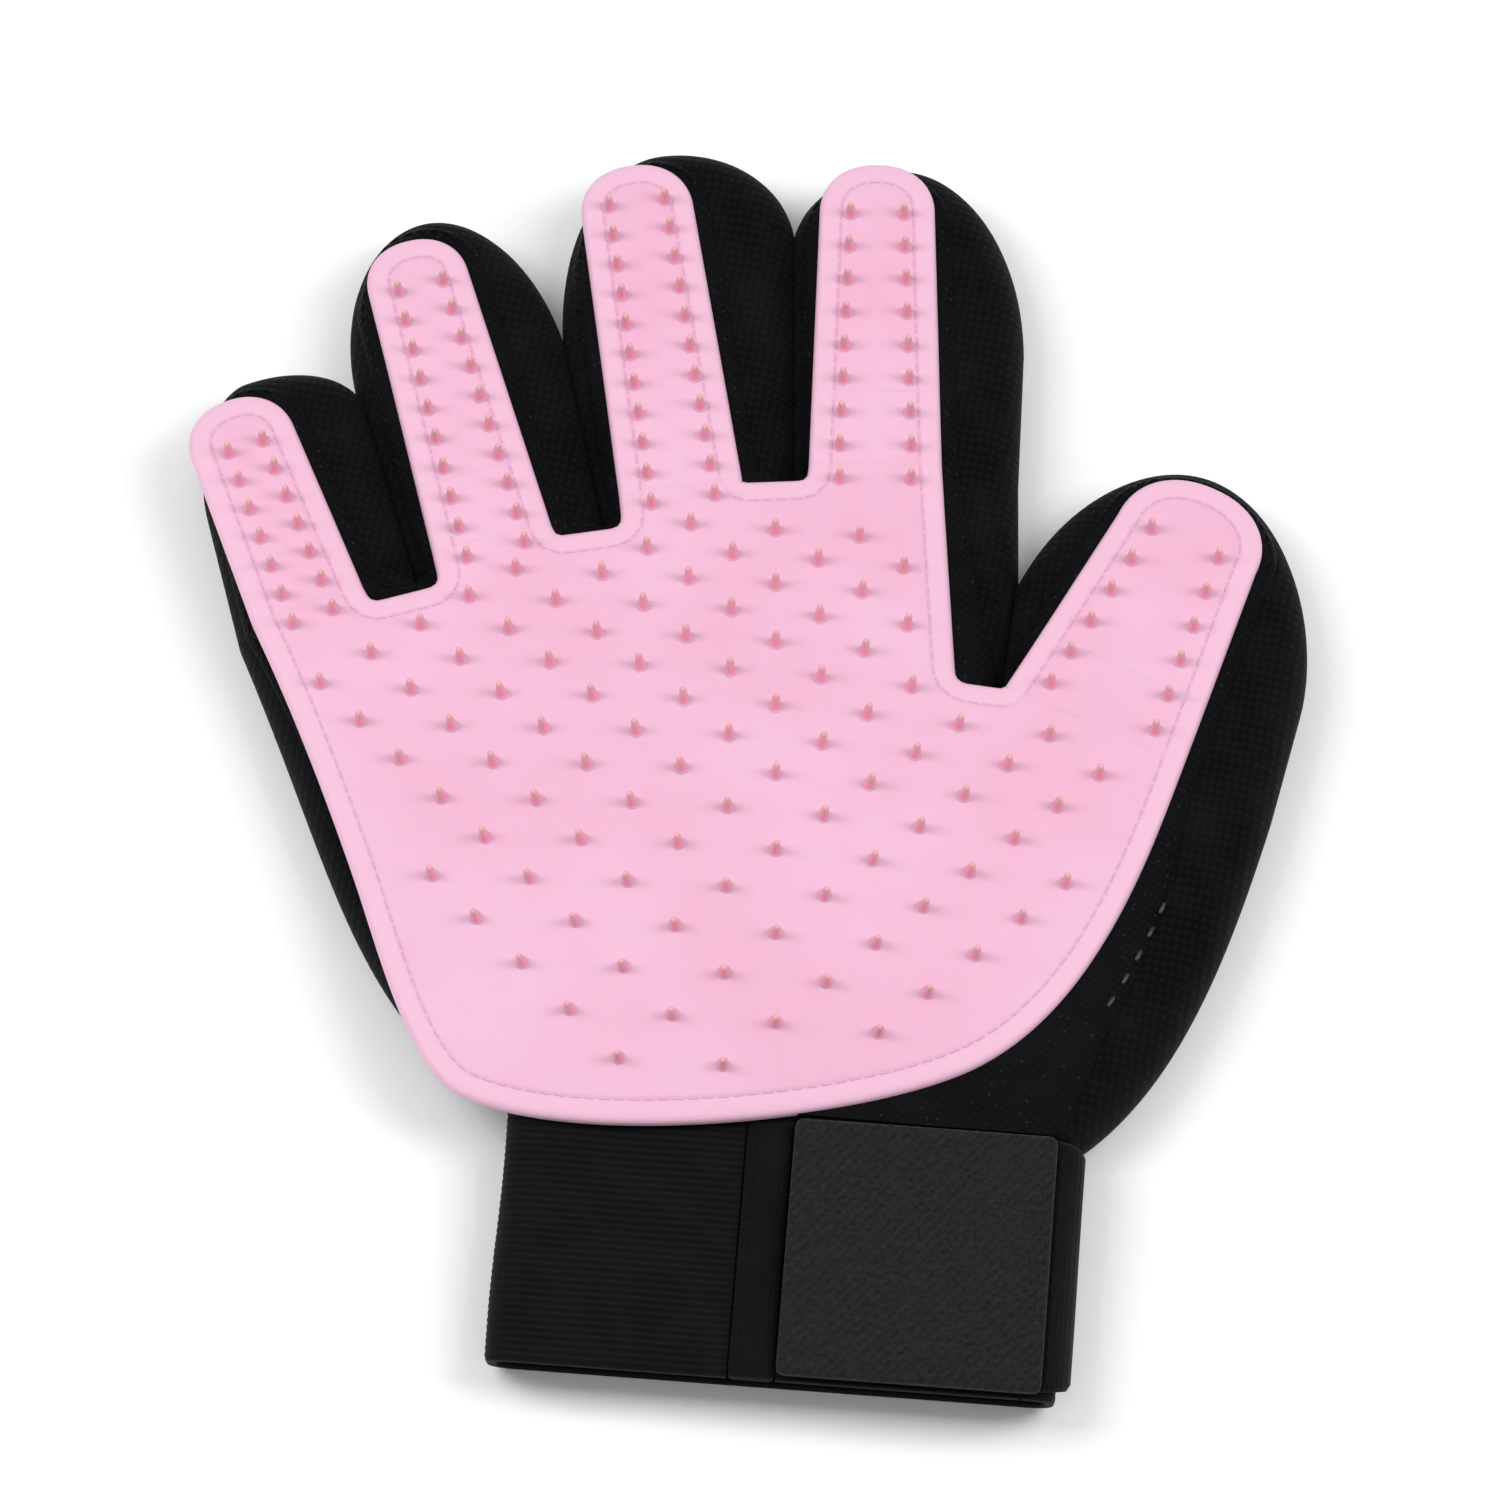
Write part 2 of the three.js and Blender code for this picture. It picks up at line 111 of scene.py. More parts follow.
def packed_points(node):
    """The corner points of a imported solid, in millimetres."""
    return np.array([v.co for v in frame["nodes"][node].data.vertices]) / MM


def packed_box(node):
    """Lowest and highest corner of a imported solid, in millimetres."""
    return [np.array(corner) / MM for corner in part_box(node)]


def reach(node, finger):
    """Lowest and highest (u, s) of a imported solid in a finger's directions."""
    local = finger.local(packed_points(node)[:, :2])
    return local.min(0), local.max(0)


PAD_LONGER = {"little": 1.3, "ring": 2.0, "middle": 2.3, "index": 2.6, "thumb": 1.9}
BRISTLES_SPREAD = {"little": 0.0, "ring": 1.5, "middle": 0.0, "index": 1.7, "thumb": 0.0}
PACKED_TIP = {n: reach(n + "_tip_pad", f)[1][1] for n, f in FINGERS.items()}
PAD_TIP = {name: tip + PAD_LONGER[name] for name, tip in PACKED_TIP.items()}
PAD_HALF = {n: reach(n + "_tip_pad", f)[1][0] for n, f in FINGERS.items()}
PAD_BASE = {n: reach(n + "_lower_pad", f)[1][0] for n, f in FINGERS.items()}
CUFF_LOW, CUFF_HIGH = packed_box("cuff_elastic")
for name in NAMES:
    print(name, "bends at", round(FINGERS[name].bend, 1), "pad", round(PAD_BASE[name], 1),
          round(PAD_HALF[name], 1), round(PAD_TIP[name], 1))

# %% [markdown]
# ## Cloth as a lying sheet with two faces
#
# Every flat piece here, from the silicone pad to a glove finger, is an outline
# seen from above with a height for its upper face and one for its lower face.
# An outline could be filled by hand with quads, or swept. Here it is filled
# with triangles: rows of points follow the rim closely, where the surface turns
# down, and a plain grid fills the middle. The same few functions then make
# every piece, so neighbours meet in the very same points.

# %% Distances, insets and the filled outline
def distance(points, lines):
    """Shortest distance from each point to any of the open lines."""
    best = np.full(len(points), np.inf)
    for line in lines:
        for a, b in zip(line[:-1], line[1:]):
            ab = b - a
            t = np.clip(((points - a) @ ab) / max(ab @ ab, 1e-12), 0, 1)
            away = points - a - t[:, None] * ab
            best = np.minimum(best, np.hypot(away[:, 0], away[:, 1]))
    return best


def inside(points, loop):
    """Which points lie inside a closed loop, by counting crossings."""
    odd = np.zeros(len(points), bool)
    for a, b in zip(loop, np.roll(loop, -1, 0)):
        if abs(a[1] - b[1]) < 1e-12:
            continue
        crosses = (a[1] > points[:, 1]) != (b[1] > points[:, 1])
        x = a[0] + (points[:, 1] - a[1]) * (b[0] - a[0]) / (b[1] - a[1])
        odd ^= crosses & (points[:, 0] < x)
    return odd


def inset(line, depth):
    """The line moved to its right, which is inwards on a clockwise outline."""
    step = np.gradient(line, axis=0)
    step /= np.maximum(np.hypot(step[:, 0], step[:, 1]), 1e-9)[:, None]
    return line + depth * np.stack([step[:, 1], -step[:, 0]], -1)


def lengths_along(line):
    """The distance along a line from its start to each of its points."""
    return np.concatenate([[0], np.cumsum(np.hypot(*np.diff(line, axis=0).T))])


def walk(line, at):
    """The points at the given distances along a line."""
    lengths = lengths_along(line)
    return np.stack([np.interp(at, lengths, line[:, i]) for i in (0, 1)], -1)


def resample(line, step):
    """The same line with points at an even spacing."""
    length = lengths_along(line)[-1]
    return walk(line, np.linspace(0, length, max(2, int(round(length / step)) + 1)))


INSIDE_ONLY = 1


def fill(outline, depths, pitch):
    """Triangles inside a clockwise outline made of ("side" or "cut", points) parts."""
    loop = np.concatenate([part[:-1] for _, part in outline])
    cut = np.concatenate([[kind == "cut"] * (len(part) - 1) for kind, part in outline])
    sides = [part for kind, part in outline if kind == "side"]
    cuts = [part for kind, part in outline if kind == "cut"]
    rows = [inset(part, d)[distance(inset(part, d), sides) > 0.95 * d]
            for part in sides for d in depths]
    low, high = loop.min(0), loop.max(0)
    x, y = np.meshgrid(np.arange(low[0], high[0], pitch), np.arange(low[1], high[1], pitch))
    x[::2] += pitch / 2
    grid = np.stack([x.ravel(), y.ravel()], -1)
    grid = grid[distance(grid, sides) > depths[-1] + 0.45 * pitch]
    inner = np.concatenate(rows + [grid])
    inner = inner[inside(inner, loop)]
    if cuts:
        inner = inner[distance(inner, cuts) > 0.45 * pitch]
    points = np.concatenate([loop, inner])
    edges = [(i, (i + 1) % len(loop)) for i in range(len(loop))]
    found = delaunay_2d_cdt([Vector(p) for p in points], edges, [], INSIDE_ONLY, 1e-6)
    _, _, triangles, origins, _, _ = found
    faces = [[origins[v][0] for v in face] for face in triangles]
    rim = [(a, b, bool(cut[a])) for a, b in edges]
    return points, faces, rim


def solid(points, faces, rim, top, bottom):
    """A closed body from a filled outline and the heights of its two faces."""
    count = len(points)
    shared = np.zeros(count, bool)
    on_rim = np.array([a for a, _, _ in rim])
    shared[on_rim] = np.abs(top - bottom)[on_rim] < 1e-3
    under = np.where(shared, np.arange(count), np.arange(count) + count)
    vertices = np.concatenate([np.column_stack([points, top]), np.column_stack([points, bottom])])
    signs = [np.cross(points[f[1]] - points[f[0]], points[f[2]] - points[f[0]]) for f in faces]
    faces = [list(f) if sign > 0 else list(f)[::-1] for f, sign in zip(faces, signs)]
    body = faces + [[int(under[v]) for v in reversed(f)] for f in faces]
    sharp = []
    for a, b, is_cut in rim:
        wall = [a, b, int(under[b]), int(under[a])]
        wall = [v for i, v in enumerate(wall) if v != wall[i - 1]]
        if len(wall) > 2:
            body.append(wall)
        sharp += [(a, b)] if is_cut else []
        sharp += [(int(under[a]), int(under[b]))] if is_cut or not shared[a] else []
    return vertices, body, sharp


PIECES = {}


def link(name, data):
    """A new object in the scene."""
    made = bpy.data.objects.new(name, data)
    bpy.context.collection.objects.link(made)
    return made


def place(name, vertices, faces, sharp=(), **values):
    """Makes a smooth-shaded piece, in metres, from points in millimetres."""
    used = np.unique(np.concatenate([np.asarray(f) for f in faces]))
    number = np.full(len(vertices), -1)
    number[used] = np.arange(len(used))
    mesh = bpy.data.meshes.new(name)
    mesh.from_pydata((vertices[used] * MM).tolist(), [], [[int(number[v]) for v in f] for f in faces])
    mesh.update()
    for key, value in values.items():
        attribute = mesh.attributes.new(key, "FLOAT", "POINT")
        attribute.data.foreach_set("value", np.asarray(value, np.float32)[used])
    mesh.polygons.foreach_set("use_smooth", [True] * len(mesh.polygons))
    hard = {frozenset((int(number[a]), int(number[b]))) for a, b in sharp}
    for edge in mesh.edges:
        edge.use_edge_sharp = frozenset(edge.vertices) in hard
    PIECES[name] = link(name, mesh)


def tell(names):
    """Prints how many points each of these pieces has."""
    for name in names:
        print(name, len(PIECES[name].data.vertices), "points")


# %% [markdown]
# ## The outline of the fabric
#
# A cut-and-sewn glove finger is wider than the pad on it, and neighbours press
# against each other along a crease until their tips part. Each side of a finger
# is a root width, a full width at its shoulder, and a rounded run to the tip.

# %% Where the fabric ends, seen from above
CUT = -0.15
FABRIC = {
    "little": dict(left=(-13.4, -10.2, 26), right=(20.55, 24.0, 36), tip=(5, 48.0)),
    "ring": dict(left=(-14.65, -15.9, 36), right=(20.55, 23.2, 36), tip=(4, 67)),
    "middle": dict(left=(-14.65, -16.9, 30), right=(20.55, 28.2, 50), tip=(6, 69.4)),
    "index": dict(left=(-14.65, -15.5, 46), right=(26.0, 27.0, 26), tip=(4, 62.2)),
    "thumb": dict(left=(-18.5, -25.2, 21), right=(35.0, 31.2, 21), tip=(-1, 55.6)),
}
ROUNDNESS = 2.0


def fabric_side(name, side, low, high=None, step=1.3):
    """One side of a finger's fabric from low to high along it, or to its tip."""
    root, full, shoulder = FABRIC[name][side]
    tip_u, tip_s = FABRIC[name]["tip"]
    end = shoulder if high is None else min(high, shoulder)
    s = np.linspace(low, end, max(2, int((end - low) / step) + 1))
    u = root + (full - root) * np.clip(s / shoulder, 0, 1)
    if high is None or high > shoulder:
        turn = np.linspace(0, math.pi / 2, 28)[1:]
        round_s = shoulder + (tip_s - shoulder) * np.sin(turn) ** (2 / ROUNDNESS)
        narrowing = min((full - root) / shoulder * math.copysign(1, root), 0)
        straight = full + math.copysign(1, root) * narrowing * (round_s - shoulder)
        round_u = tip_u + (straight - tip_u) * np.maximum(np.cos(turn), 0) ** (2 / ROUNDNESS)
        if high is not None:
            end_u = np.interp(high, round_s, round_u)
            keep = round_s < high - 0.2
            round_s = np.append(round_s[keep], high)
            round_u = np.append(round_u[keep], end_u)
        s, u = np.append(s, round_s), np.append(u, round_u)
    return FINGERS[name].at(u, s)


def bow(start, first, second, end, count):
    """A cubic curve from start to end, pulled towards two points."""
    t = np.linspace(0, 1, count)[:, None]
    start, first, second, end = (np.asarray(p, float) for p in (start, first, second, end))
    return ((1 - t) ** 3 * start + 3 * t * (1 - t) ** 2 * first
            + 3 * t ** 2 * (1 - t) * second + t ** 3 * end)


def fabric_end(name, side, inward=0.0):
    """Where a finger's side meets the palm, moved inwards by some millimetres."""
    root = FABRIC[name][side][0]
    return FINGERS[name].at(root - math.copysign(inward, root), CUT)


CUFF_TOP = float(CUFF_HIGH[1])
CUFF_HALF = float(CUFF_HIGH[0])
CROTCH_ALONG_THUMB = 22.5
TO_CROTCH = 13


def web_edge():
    """From the index finger's root down to the crotch, then along the thumb."""
    thumb_edge = fabric_side("thumb", "left", CUT, CROTCH_ALONG_THUMB)[::-1]
    down = np.linspace(fabric_end("index", "right"), thumb_edge[0], TO_CROTCH + 1)[:-1]
    return np.concatenate([down, thumb_edge])


THUMB_BULGE = (74, CUFF_TOP + 38), (66.5, CUFF_TOP + 13.5)
PALM_SIDES = {
    "little_side": bow((-CUFF_HALF, CUFF_TOP), (-80, CUFF_TOP + 16), (-85, CUFF_TOP + 42),
                       fabric_end("little", "left"), 76),
    "web": web_edge(),
    "thumb_side": bow(fabric_end("thumb", "right"), *THUMB_BULGE, (CUFF_HALF, CUFF_TOP), 56),
}
for left_name, right_name in NEIGHBOURS:
    PALM_SIDES[left_name + "_web"] = np.linspace(
        fabric_end(left_name, "right"), fabric_end(right_name, "left"), 3)
FABRIC_SIDES = {name: [fabric_side(name, "left", CUT), fabric_side(name, "right", CUT)]
                for name in NAMES}
print("fabric outline:", sum(len(line) for line in PALM_SIDES.values()), "points on the palm")

# %% [markdown]
# ## The heights of the fabric
#
# The lying glove is about as thick as a folded hand, flat above and below, and
# its sides are round. The height only depends on how far a point lies from the
# nearest side or crease. Small radial puckers sit round the roots of the
# fingers, where the seams gather the cloth.

# %% Heights
SEAM_Z = 8.85
FRONT_Z = 17.7
SIDE_ROUND = 7.5
DOME_RISE, DOME_RADIUS = 6.5, 70.0
DOME_CENTRE = np.array([-15.0, 75.17])
PUCKER_DEEP, PUCKER_REACH = 0.8, 9.0
WEBS = [PALM_SIDES[n + "_web"][1] for n in NAMES[:3]] + [PALM_SIDES["web"][TO_CROTCH]]


def bulge(points):
    """How far the palm crowns above the flat of the fingers."""
    away = np.hypot(*(points - DOME_CENTRE).T)
    return DOME_RISE * np.cos(math.pi / 2 * np.minimum(away / DOME_RADIUS, 1)) ** 2


def side_profile(depth, radius=SIDE_ROUND):
    """0 at a side and 1 beyond its rounding, as a quarter circle."""
    return np.sqrt(np.maximum(1 - (1 - np.minimum(depth / radius, 1)) ** 2, 0))


def puckers(points, depth):
    """Radial folds round the webs between the fingers, and slow waves elsewhere."""
    x, y = points.T
    waves = 0.18 * np.sin(x / 9.1 + 1.3 * np.sin(y / 13)) * np.sin(y / 11.3 + 0.4)
    for i, web in enumerate(WEBS):
        dx, dy = (points - web).T
        far = np.hypot(dx, dy)
        fades = np.exp(-far / PUCKER_REACH) * np.minimum(far / 3, 1)
        waves += PUCKER_DEEP * np.sin(9 * np.arctan2(dy, dx) + i) * fades
    return waves * np.minimum(depth / 3, 1)


def every_side(palm_sides, finger_sides, name=None):
    """A layer's sides round the palm, with one finger's sides or every finger's."""
    own = finger_sides[name] if name else [e for pair in finger_sides.values() for e in pair]
    return list(palm_sides.values()) + own


def fabric_lines(name=None):
    """The sides and creases that count for the palm's fabric, or for one finger's."""
    return every_side(PALM_SIDES, FABRIC_SIDES, name)


def fabric_heights(points, lines):
    """Upper and lower height of the fabric at each point."""
    depth = distance(points, lines)
    round_side = side_profile(depth)
    front = SEAM_Z + (FRONT_Z - SEAM_Z + bulge(points)) * round_side + puckers(points, depth)
    back = SEAM_Z * (1 - round_side) + 0.6 * np.abs(puckers(points, depth)) * round_side
    return front, back, depth


def row(finger, left, right, s, depths, pitch):
    """The points of a cut across a finger: close together near both sides."""
    near = np.concatenate([[0.0], depths])
    middle = np.linspace(left + depths[-1], right - depths[-1],
                         max(3, int((right - left - 2 * depths[-1]) / pitch) + 2))[1:-1]
    u = np.concatenate([left + near, middle, right - near[::-1]])
    return finger.at(u, s)


SIDE_DEPTHS = SIDE_ROUND * (1 - np.cos(np.radians([9, 18, 28, 39, 51, 64, 77, 90])))
FABRIC_PITCH = 2.2


def fabric_cut(name, s):
    """A cut across a finger's fabric."""
    ends = []
    for side in ("left", "right"):
        root, full, shoulder = FABRIC[name][side]
        ends.append(root + (full - root) * min(max(s / shoulder, 0), 1))
    return row(FINGERS[name], *ends, s, SIDE_DEPTHS, FABRIC_PITCH)


# %% [markdown]
# ## The glove body
#
# The palm part carries the cuff, so it is one closed form up to each finger's
# first bending line. A finger bends twice, and one piece may bend over one
# joint, so each finger's fabric is cut once, in the stiff stretch between.

# %% Palm and finger fabric
def palm_outline(sides, cut_of, first, between, last):
    """The clockwise outline of a palm layer, from its first side to the thumb's cut."""
    parts = [("side", sides[first])]
    for name in NAMES[:4]:
        parts.append(("cut", cut_of(name, CUT)))
        parts.append(("side", sides[last if name == "index" else name + between]))
    parts.append(("cut", cut_of("thumb", CUT)))
    return parts


def palm_fabric_outline():
    """The clockwise outline of the palm's fabric, from the cuff round to the cuff."""
    at_cuff = np.linspace((CUFF_HALF, CUFF_TOP), (-CUFF_HALF, CUFF_TOP), 60)
    return palm_outline(PALM_SIDES, fabric_cut, "little_side", "_web", "web") + [
        ("side", PALM_SIDES["thumb_side"]), ("cut", at_cuff)]


BEND_END = 7.0
MIDDLE_HALF = 4.0


def split_of(name):
    """Where a finger's pieces are cut: the middle of its stiff lower part."""
    return (BEND_END + FINGERS[name].bend - MIDDLE_HALF) / 2


def finger_outline(name, part, side_of, cut_of):
    """The clockwise outline of one of the two lengths of one of a finger's layers."""
    split = split_of(name)
    if part == "root":
        return [("side", side_of(name, "left", CUT, split)),
                ("cut", cut_of(name, split)),
                ("side", side_of(name, "right", CUT, split)[::-1]),
                ("cut", cut_of(name, CUT)[::-1])]
    over_tip = np.concatenate([side_of(name, "left", split),
                               side_of(name, "right", split)[::-1][1:]])
    return [("side", over_tip), ("cut", cut_of(name, split)[::-1])]


def fabric_piece(piece_name, outline, lines):
    """A closed fabric form over an outline."""
    points, faces, rim = fill(outline, SIDE_DEPTHS, FABRIC_PITCH)
    front, back, depth = fabric_heights(points, lines)
    vertices, body, sharp = solid(points, faces, rim, front, back)
    place(piece_name, vertices, body, sharp, depth=np.tile(depth, 2))


def bend_finger(piece, name, part):
    """Works out where a piece's joint starts and ends along the finger (the first for the root, the
    second for the end), and bakes the piece's placement into its points.
    """
    finger = FINGERS[name]
    first, second = (CUT, BEND_END) if part == "root" else (
        finger.bend - MIDDLE_HALF, finger.bend + MIDDLE_HALF)
    start, end = (Vector((*(finger.at(0, s) * MM), 0)) for s in (first, second))
    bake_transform(piece)


fabric_piece("palm_fabric_body", palm_fabric_outline(), fabric_lines())
for name in NAMES:
    for part in ("root", "end"):
        fabric_piece(f"{name}_{part}_fabric", finger_outline(name, part, fabric_side, fabric_cut),
                     fabric_lines(name))
tell(PIECES)

# %% [markdown]
# ## The palm-side cloth under the pad
#
# A second, tougher cloth is sewn over the palm side. It reaches a few
# millimetres past the silicone and ends in a stitched seam. It is a thin plate
# that follows the fabric's own height, so it never floats or sinks.

# %% Outlines of the pad, and of the palm-side cloth around it
STRIP_MARGIN = 3.0
SEAM_ROOM = 1.3


def pad_half(name, s):
    """Half the pad's width at a distance along the finger."""
    slope = (PAD_HALF[name] - PAD_BASE[name]) / FINGERS[name].bend
    return PAD_BASE[name] + slope * s


def half_outline(half_at, tip, low, high=None, step=1.1):
    """(s, half width) down one side of a round-ended strip, to its tip if high is None."""
    round_from = tip - half_at(tip) * 0.96
    end = round_from if high is None else high
    s = np.linspace(low, end, max(2, int((end - low) / step) + 1))
    half = half_at(s)
    if high is None:
        turn = np.linspace(0, math.pi / 2, 18)[1:]
        half = np.append(half, half_at(round_from) * np.maximum(np.cos(turn), 0) ** 0.92)
        s = np.append(s, round_from + (tip - round_from) * np.sin(turn) ** 0.92)
    return s, half


def pad_side(name, side, low, high=None):
    """One side of a finger's pad."""
    s, half = half_outline(lambda at: pad_half(name, at), PAD_TIP[name], low, high)
    return FINGERS[name].at(half if side == "right" else -half, s)


def strip_side(name, side, low, high=None):
    """One side of the palm-side cloth on a finger, kept inside the glove finger."""
    tip = min(PAD_TIP[name] + STRIP_MARGIN, FABRIC[name]["tip"][1] - 2 * SEAM_ROOM)
    s, half = half_outline(lambda at: pad_half(name, at) + STRIP_MARGIN, tip, low, high)
    u, along = FINGERS[name].local(FABRIC_SIDES[name][side == "right"]).T
    half = np.minimum(half, np.abs(np.interp(s, along, u)) - SEAM_ROOM)
    return FINGERS[name].at(half if side == "right" else -half, s)


def rounded(corners, radius, count=6):
    """A line through corners, each inner corner replaced by a small curve."""
    corners = [np.asarray(c, float) for c in corners]
    line = [corners[0]]
    for before, corner, after in zip(corners, corners[1:], corners[2:]):
        to_before, to_after = before - corner, after - corner
        near = min(radius, np.hypot(*to_before) / 2, np.hypot(*to_after) / 2)
        start = corner + to_before / np.hypot(*to_before) * near
        end = corner + to_after / np.hypot(*to_after) * near
        for t in np.linspace(0, 1, count):
            line.append((1 - t) ** 2 * start + 2 * t * (1 - t) * corner + t ** 2 * end)
    return resample(np.array(line + [corners[-1]]), 1.0)


NOTCH = {"thumb": (0.6, 0), "index": (2.9, 0), "middle": (6, 0.5), "ring": (6.1, 2.4),
         "little": (0, 3.4)}
NOTCH_ROUND = 2.2


def pad_corner(name, side, low=CUT):
    """Where a side of a finger's pad starts, at the first bending line."""
    return pad_side(name, side, low, low + 1)[0]


def pad_notch(name, side):
    """The lowest corner of the notch beside a finger's pad."""
    depth = NOTCH[name][0 if side == "left" else 1]
    sign = -1 if side == "left" else 1
    return FINGERS[name].at(sign * (PAD_BASE[name] + 0.3), CUT - depth)


def above_cuff(x, y):
    """A point given by its height above the cuff's top edge."""
    return np.array([x, CUFF_TOP + y])


def pad_heel():
    """The pad's long free edge, from the little finger round the heel to the thumb."""
    heel, pull = above_cuff(-80.4, 36.6), above_cuff(-92, 64)
    start = pad_corner("little", "left")
    runs = [bow(start, start + 2 / 3 * (pull - start), heel + 2 / 3 * (pull - heel), heel, 40),
            bow(heel, above_cuff(-74, 21), above_cuff(-68, 4), above_cuff(-59.2, -0.7), 44),
            bow(above_cuff(-59.2, -0.7), above_cuff(-40, -8.8), above_cuff(5, -2.2),
                above_cuff(27.3, 9.0), 80),
            bow(above_cuff(27.3, 9.0), above_cuff(48.5, 19.5), above_cuff(57, 46),
                pad_corner("thumb", "right"), 80)]
    return resample(np.concatenate([runs[0]] + [r[1:] for r in runs[1:]]), 1.1)


def thumb_notch():
    """The pad's edge between the index finger and the thumb."""
    index, thumb = FINGERS["index"], FINGERS["thumb"]
    low = index.at(PAD_BASE["index"] + 2.6, thumb.base[1] - index.base[1] + 5)
    return rounded([pad_corner("index", "right"), low, pad_notch("thumb", "left"),
                    pad_corner("thumb", "left")], NOTCH_ROUND)


PAD_PALM_SIDES = {"heel": pad_heel()[::-1], "thumb_notch": thumb_notch()}
for left_name, right_name in NEIGHBOURS:
    PAD_PALM_SIDES[left_name + "_notch"] = rounded(
        [pad_corner(left_name, "right"), pad_notch(left_name, "right"),
         pad_notch(right_name, "left"), pad_corner(right_name, "left")], NOTCH_ROUND)
PAD_SIDES = {name: [pad_side(name, "left", CUT), pad_side(name, "right", CUT)] for name in NAMES}

# %% The palm-side cloth
STRIP_THICK, STRIP_SUNK = 0.45, 0.35
STRIP_EDGE = 0.6
CUFF_CORNER = 4.5
STRIP_INSETS = {"little_side": (CUFF_CORNER, 4.6, 4.0, 1.5),
                "thumb_side": (14.6, 12.6, 10.0, CUFF_CORNER)}
STRIP_DEPTHS = np.array([0.15, 0.4, 0.8, 1.5, 2.4, 3.5, 4.8])


def strip_corner(name, side, low=CUT):
    """Where a side of the palm-side cloth starts on a finger."""
    return strip_side(name, side, low, low + 1)[0]


def strip_palm_sides():
    """The sewn edges of the palm-side cloth on the palm."""
    def inner(key, first, last):
        line = PALM_SIDES[key]
        depth = np.interp(np.linspace(0, 1, len(line)), (0, 0.35, 0.75, 1), STRIP_INSETS[key])
        line = inset(line, depth[:, None])
        return resample(np.concatenate([[first], line[3:-3], [last]]), 1.2)

    cuff_left = above_cuff(CUFF_CORNER - CUFF_HALF, 0)
    cuff_right = above_cuff(CUFF_HALF - CUFF_CORNER, 0)
    sides = {"little_side": inner("little_side", cuff_left, strip_corner("little", "left")),
             "thumb_side": inner("thumb_side", strip_corner("thumb", "right"), cuff_right)}
    for left_name, right_name in NEIGHBOURS:
        ends = strip_corner(left_name, "right"), strip_corner(right_name, "left")
        low = PALM_SIDES[left_name + "_web"][1] - np.array([-0.4, 2.6])
        sides[left_name + "_web"] = rounded([ends[0], low, ends[1]], 3)
    index, thumb = FINGERS["index"], FINGERS["thumb"]
    low = index.at(PAD_BASE["index"] + 7.5, thumb.base[1] - index.base[1] + 16)
    sides["web"] = rounded([strip_corner("index", "right"), low,
                            thumb.at(-PAD_BASE["thumb"] - 4.5, 6),
                            strip_corner("thumb", "left")], 6)
    return sides


STRIP_PALM_SIDES = strip_palm_sides()
STRIP_SIDES = {name: [strip_side(name, "left", CUT), strip_side(name, "right", CUT)]
               for name in NAMES}


def pad_cut(name, s):
    """A cut across a finger's pad."""
    half = pad_half(name, s)
    return row(FINGERS[name], -half, half, s, PAD_DEPTHS, PAD_PITCH)


def strip_cut(name, s):
    """A cut across a finger's palm-side cloth."""
    ends = [FINGERS[name].local(strip_side(name, side, s, s + 1)[:1])[0, 0]
            for side in ("left", "right")]
    return row(FINGERS[name], *ends, s, STRIP_DEPTHS, FABRIC_PITCH)


def strip_heights(points, sides, lines):
    """Upper and lower height of the palm-side cloth, and the distance to its edge."""
    front = fabric_heights(points, lines)[0]
    depth = distance(points, sides)
    return front + STRIP_THICK * side_profile(depth, STRIP_EDGE), front - STRIP_SUNK, depth


strip_at_cuff = np.array([STRIP_PALM_SIDES["thumb_side"][-1], STRIP_PALM_SIDES["little_side"][0]])
strip_outline = palm_outline(STRIP_PALM_SIDES, strip_cut, "little_side", "_web", "web") + [
    ("side", STRIP_PALM_SIDES["thumb_side"]), ("cut", resample(strip_at_cuff, 1.6))]
print("palm-side cloth:", sum(len(part) for _, part in strip_outline), "points on its outline")

# %% [markdown]
# ## The silicone pad
#
# The pad is one moulded sheet, about 1.8 mm thick, with a soft rim and a sunk
# line where it is sewn down. The bristles are moulded with it. Each one flares
# out into the sheet at its foot, so it is turned from a profile and stands
# along the sheet's own direction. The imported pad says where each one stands.

# %% Pad heights and the bristle spots
PAD_BOTTOM, PAD_TOP = 18.0, 19.8
PAD_RIM = 1.1
STITCH_INSET = 4.0
GROOVE_DEEP, GROOVE_HALF = 0.17, 0.32
DRAPE, DRAPE_WIDTH = 0.55, 7.0
PAD_DEPTHS = np.array([0.1, 0.32, 0.65, 1.1, 2.1, 3.1, 3.6, 3.82, 4.0, 4.18, 4.4, 4.9])
PAD_PITCH = 1.6


def pad_heights(points, sides):
    """Upper and lower height of the silicone sheet, and the distance to its edge."""
    depth = distance(points, sides)
    drape = DRAPE * (1 - np.minimum(depth / DRAPE_WIDTH, 1)) ** 2
    flat = PAD_TOP + bulge(points) - drape
    rim = PAD_RIM * (1 - side_profile(depth, PAD_RIM))
    groove = GROOVE_DEEP * np.exp(-((depth - STITCH_INSET) / GROOVE_HALF) ** 2)
    return flat - rim - groove, flat - (PAD_TOP - PAD_BOTTOM), depth


def bristle_spots(node):
    """Where bristles stand on a packed pad: the middles of its highest small faces."""
    points = packed_points(node)
    height = points[:, 2] - bulge(points[:, :2])
    tips = points[height > PAD_TOP + 3][:, :2]
    spots = []
    while len(tips):
        near = np.hypot(*(tips - tips[0]).T) < 1.5
        spots.append((tips[near].min(0) + tips[near].max(0)) / 2)
        tips = tips[~near]
    return np.array(spots).reshape(-1, 2)


BORDER, CORNER_BORDER, FINGER_BORDER = 7.0, 12.0, 3.0
CORNER_LEFT_OF = -45
FINGERS_ABOVE = CUFF_TOP + 60


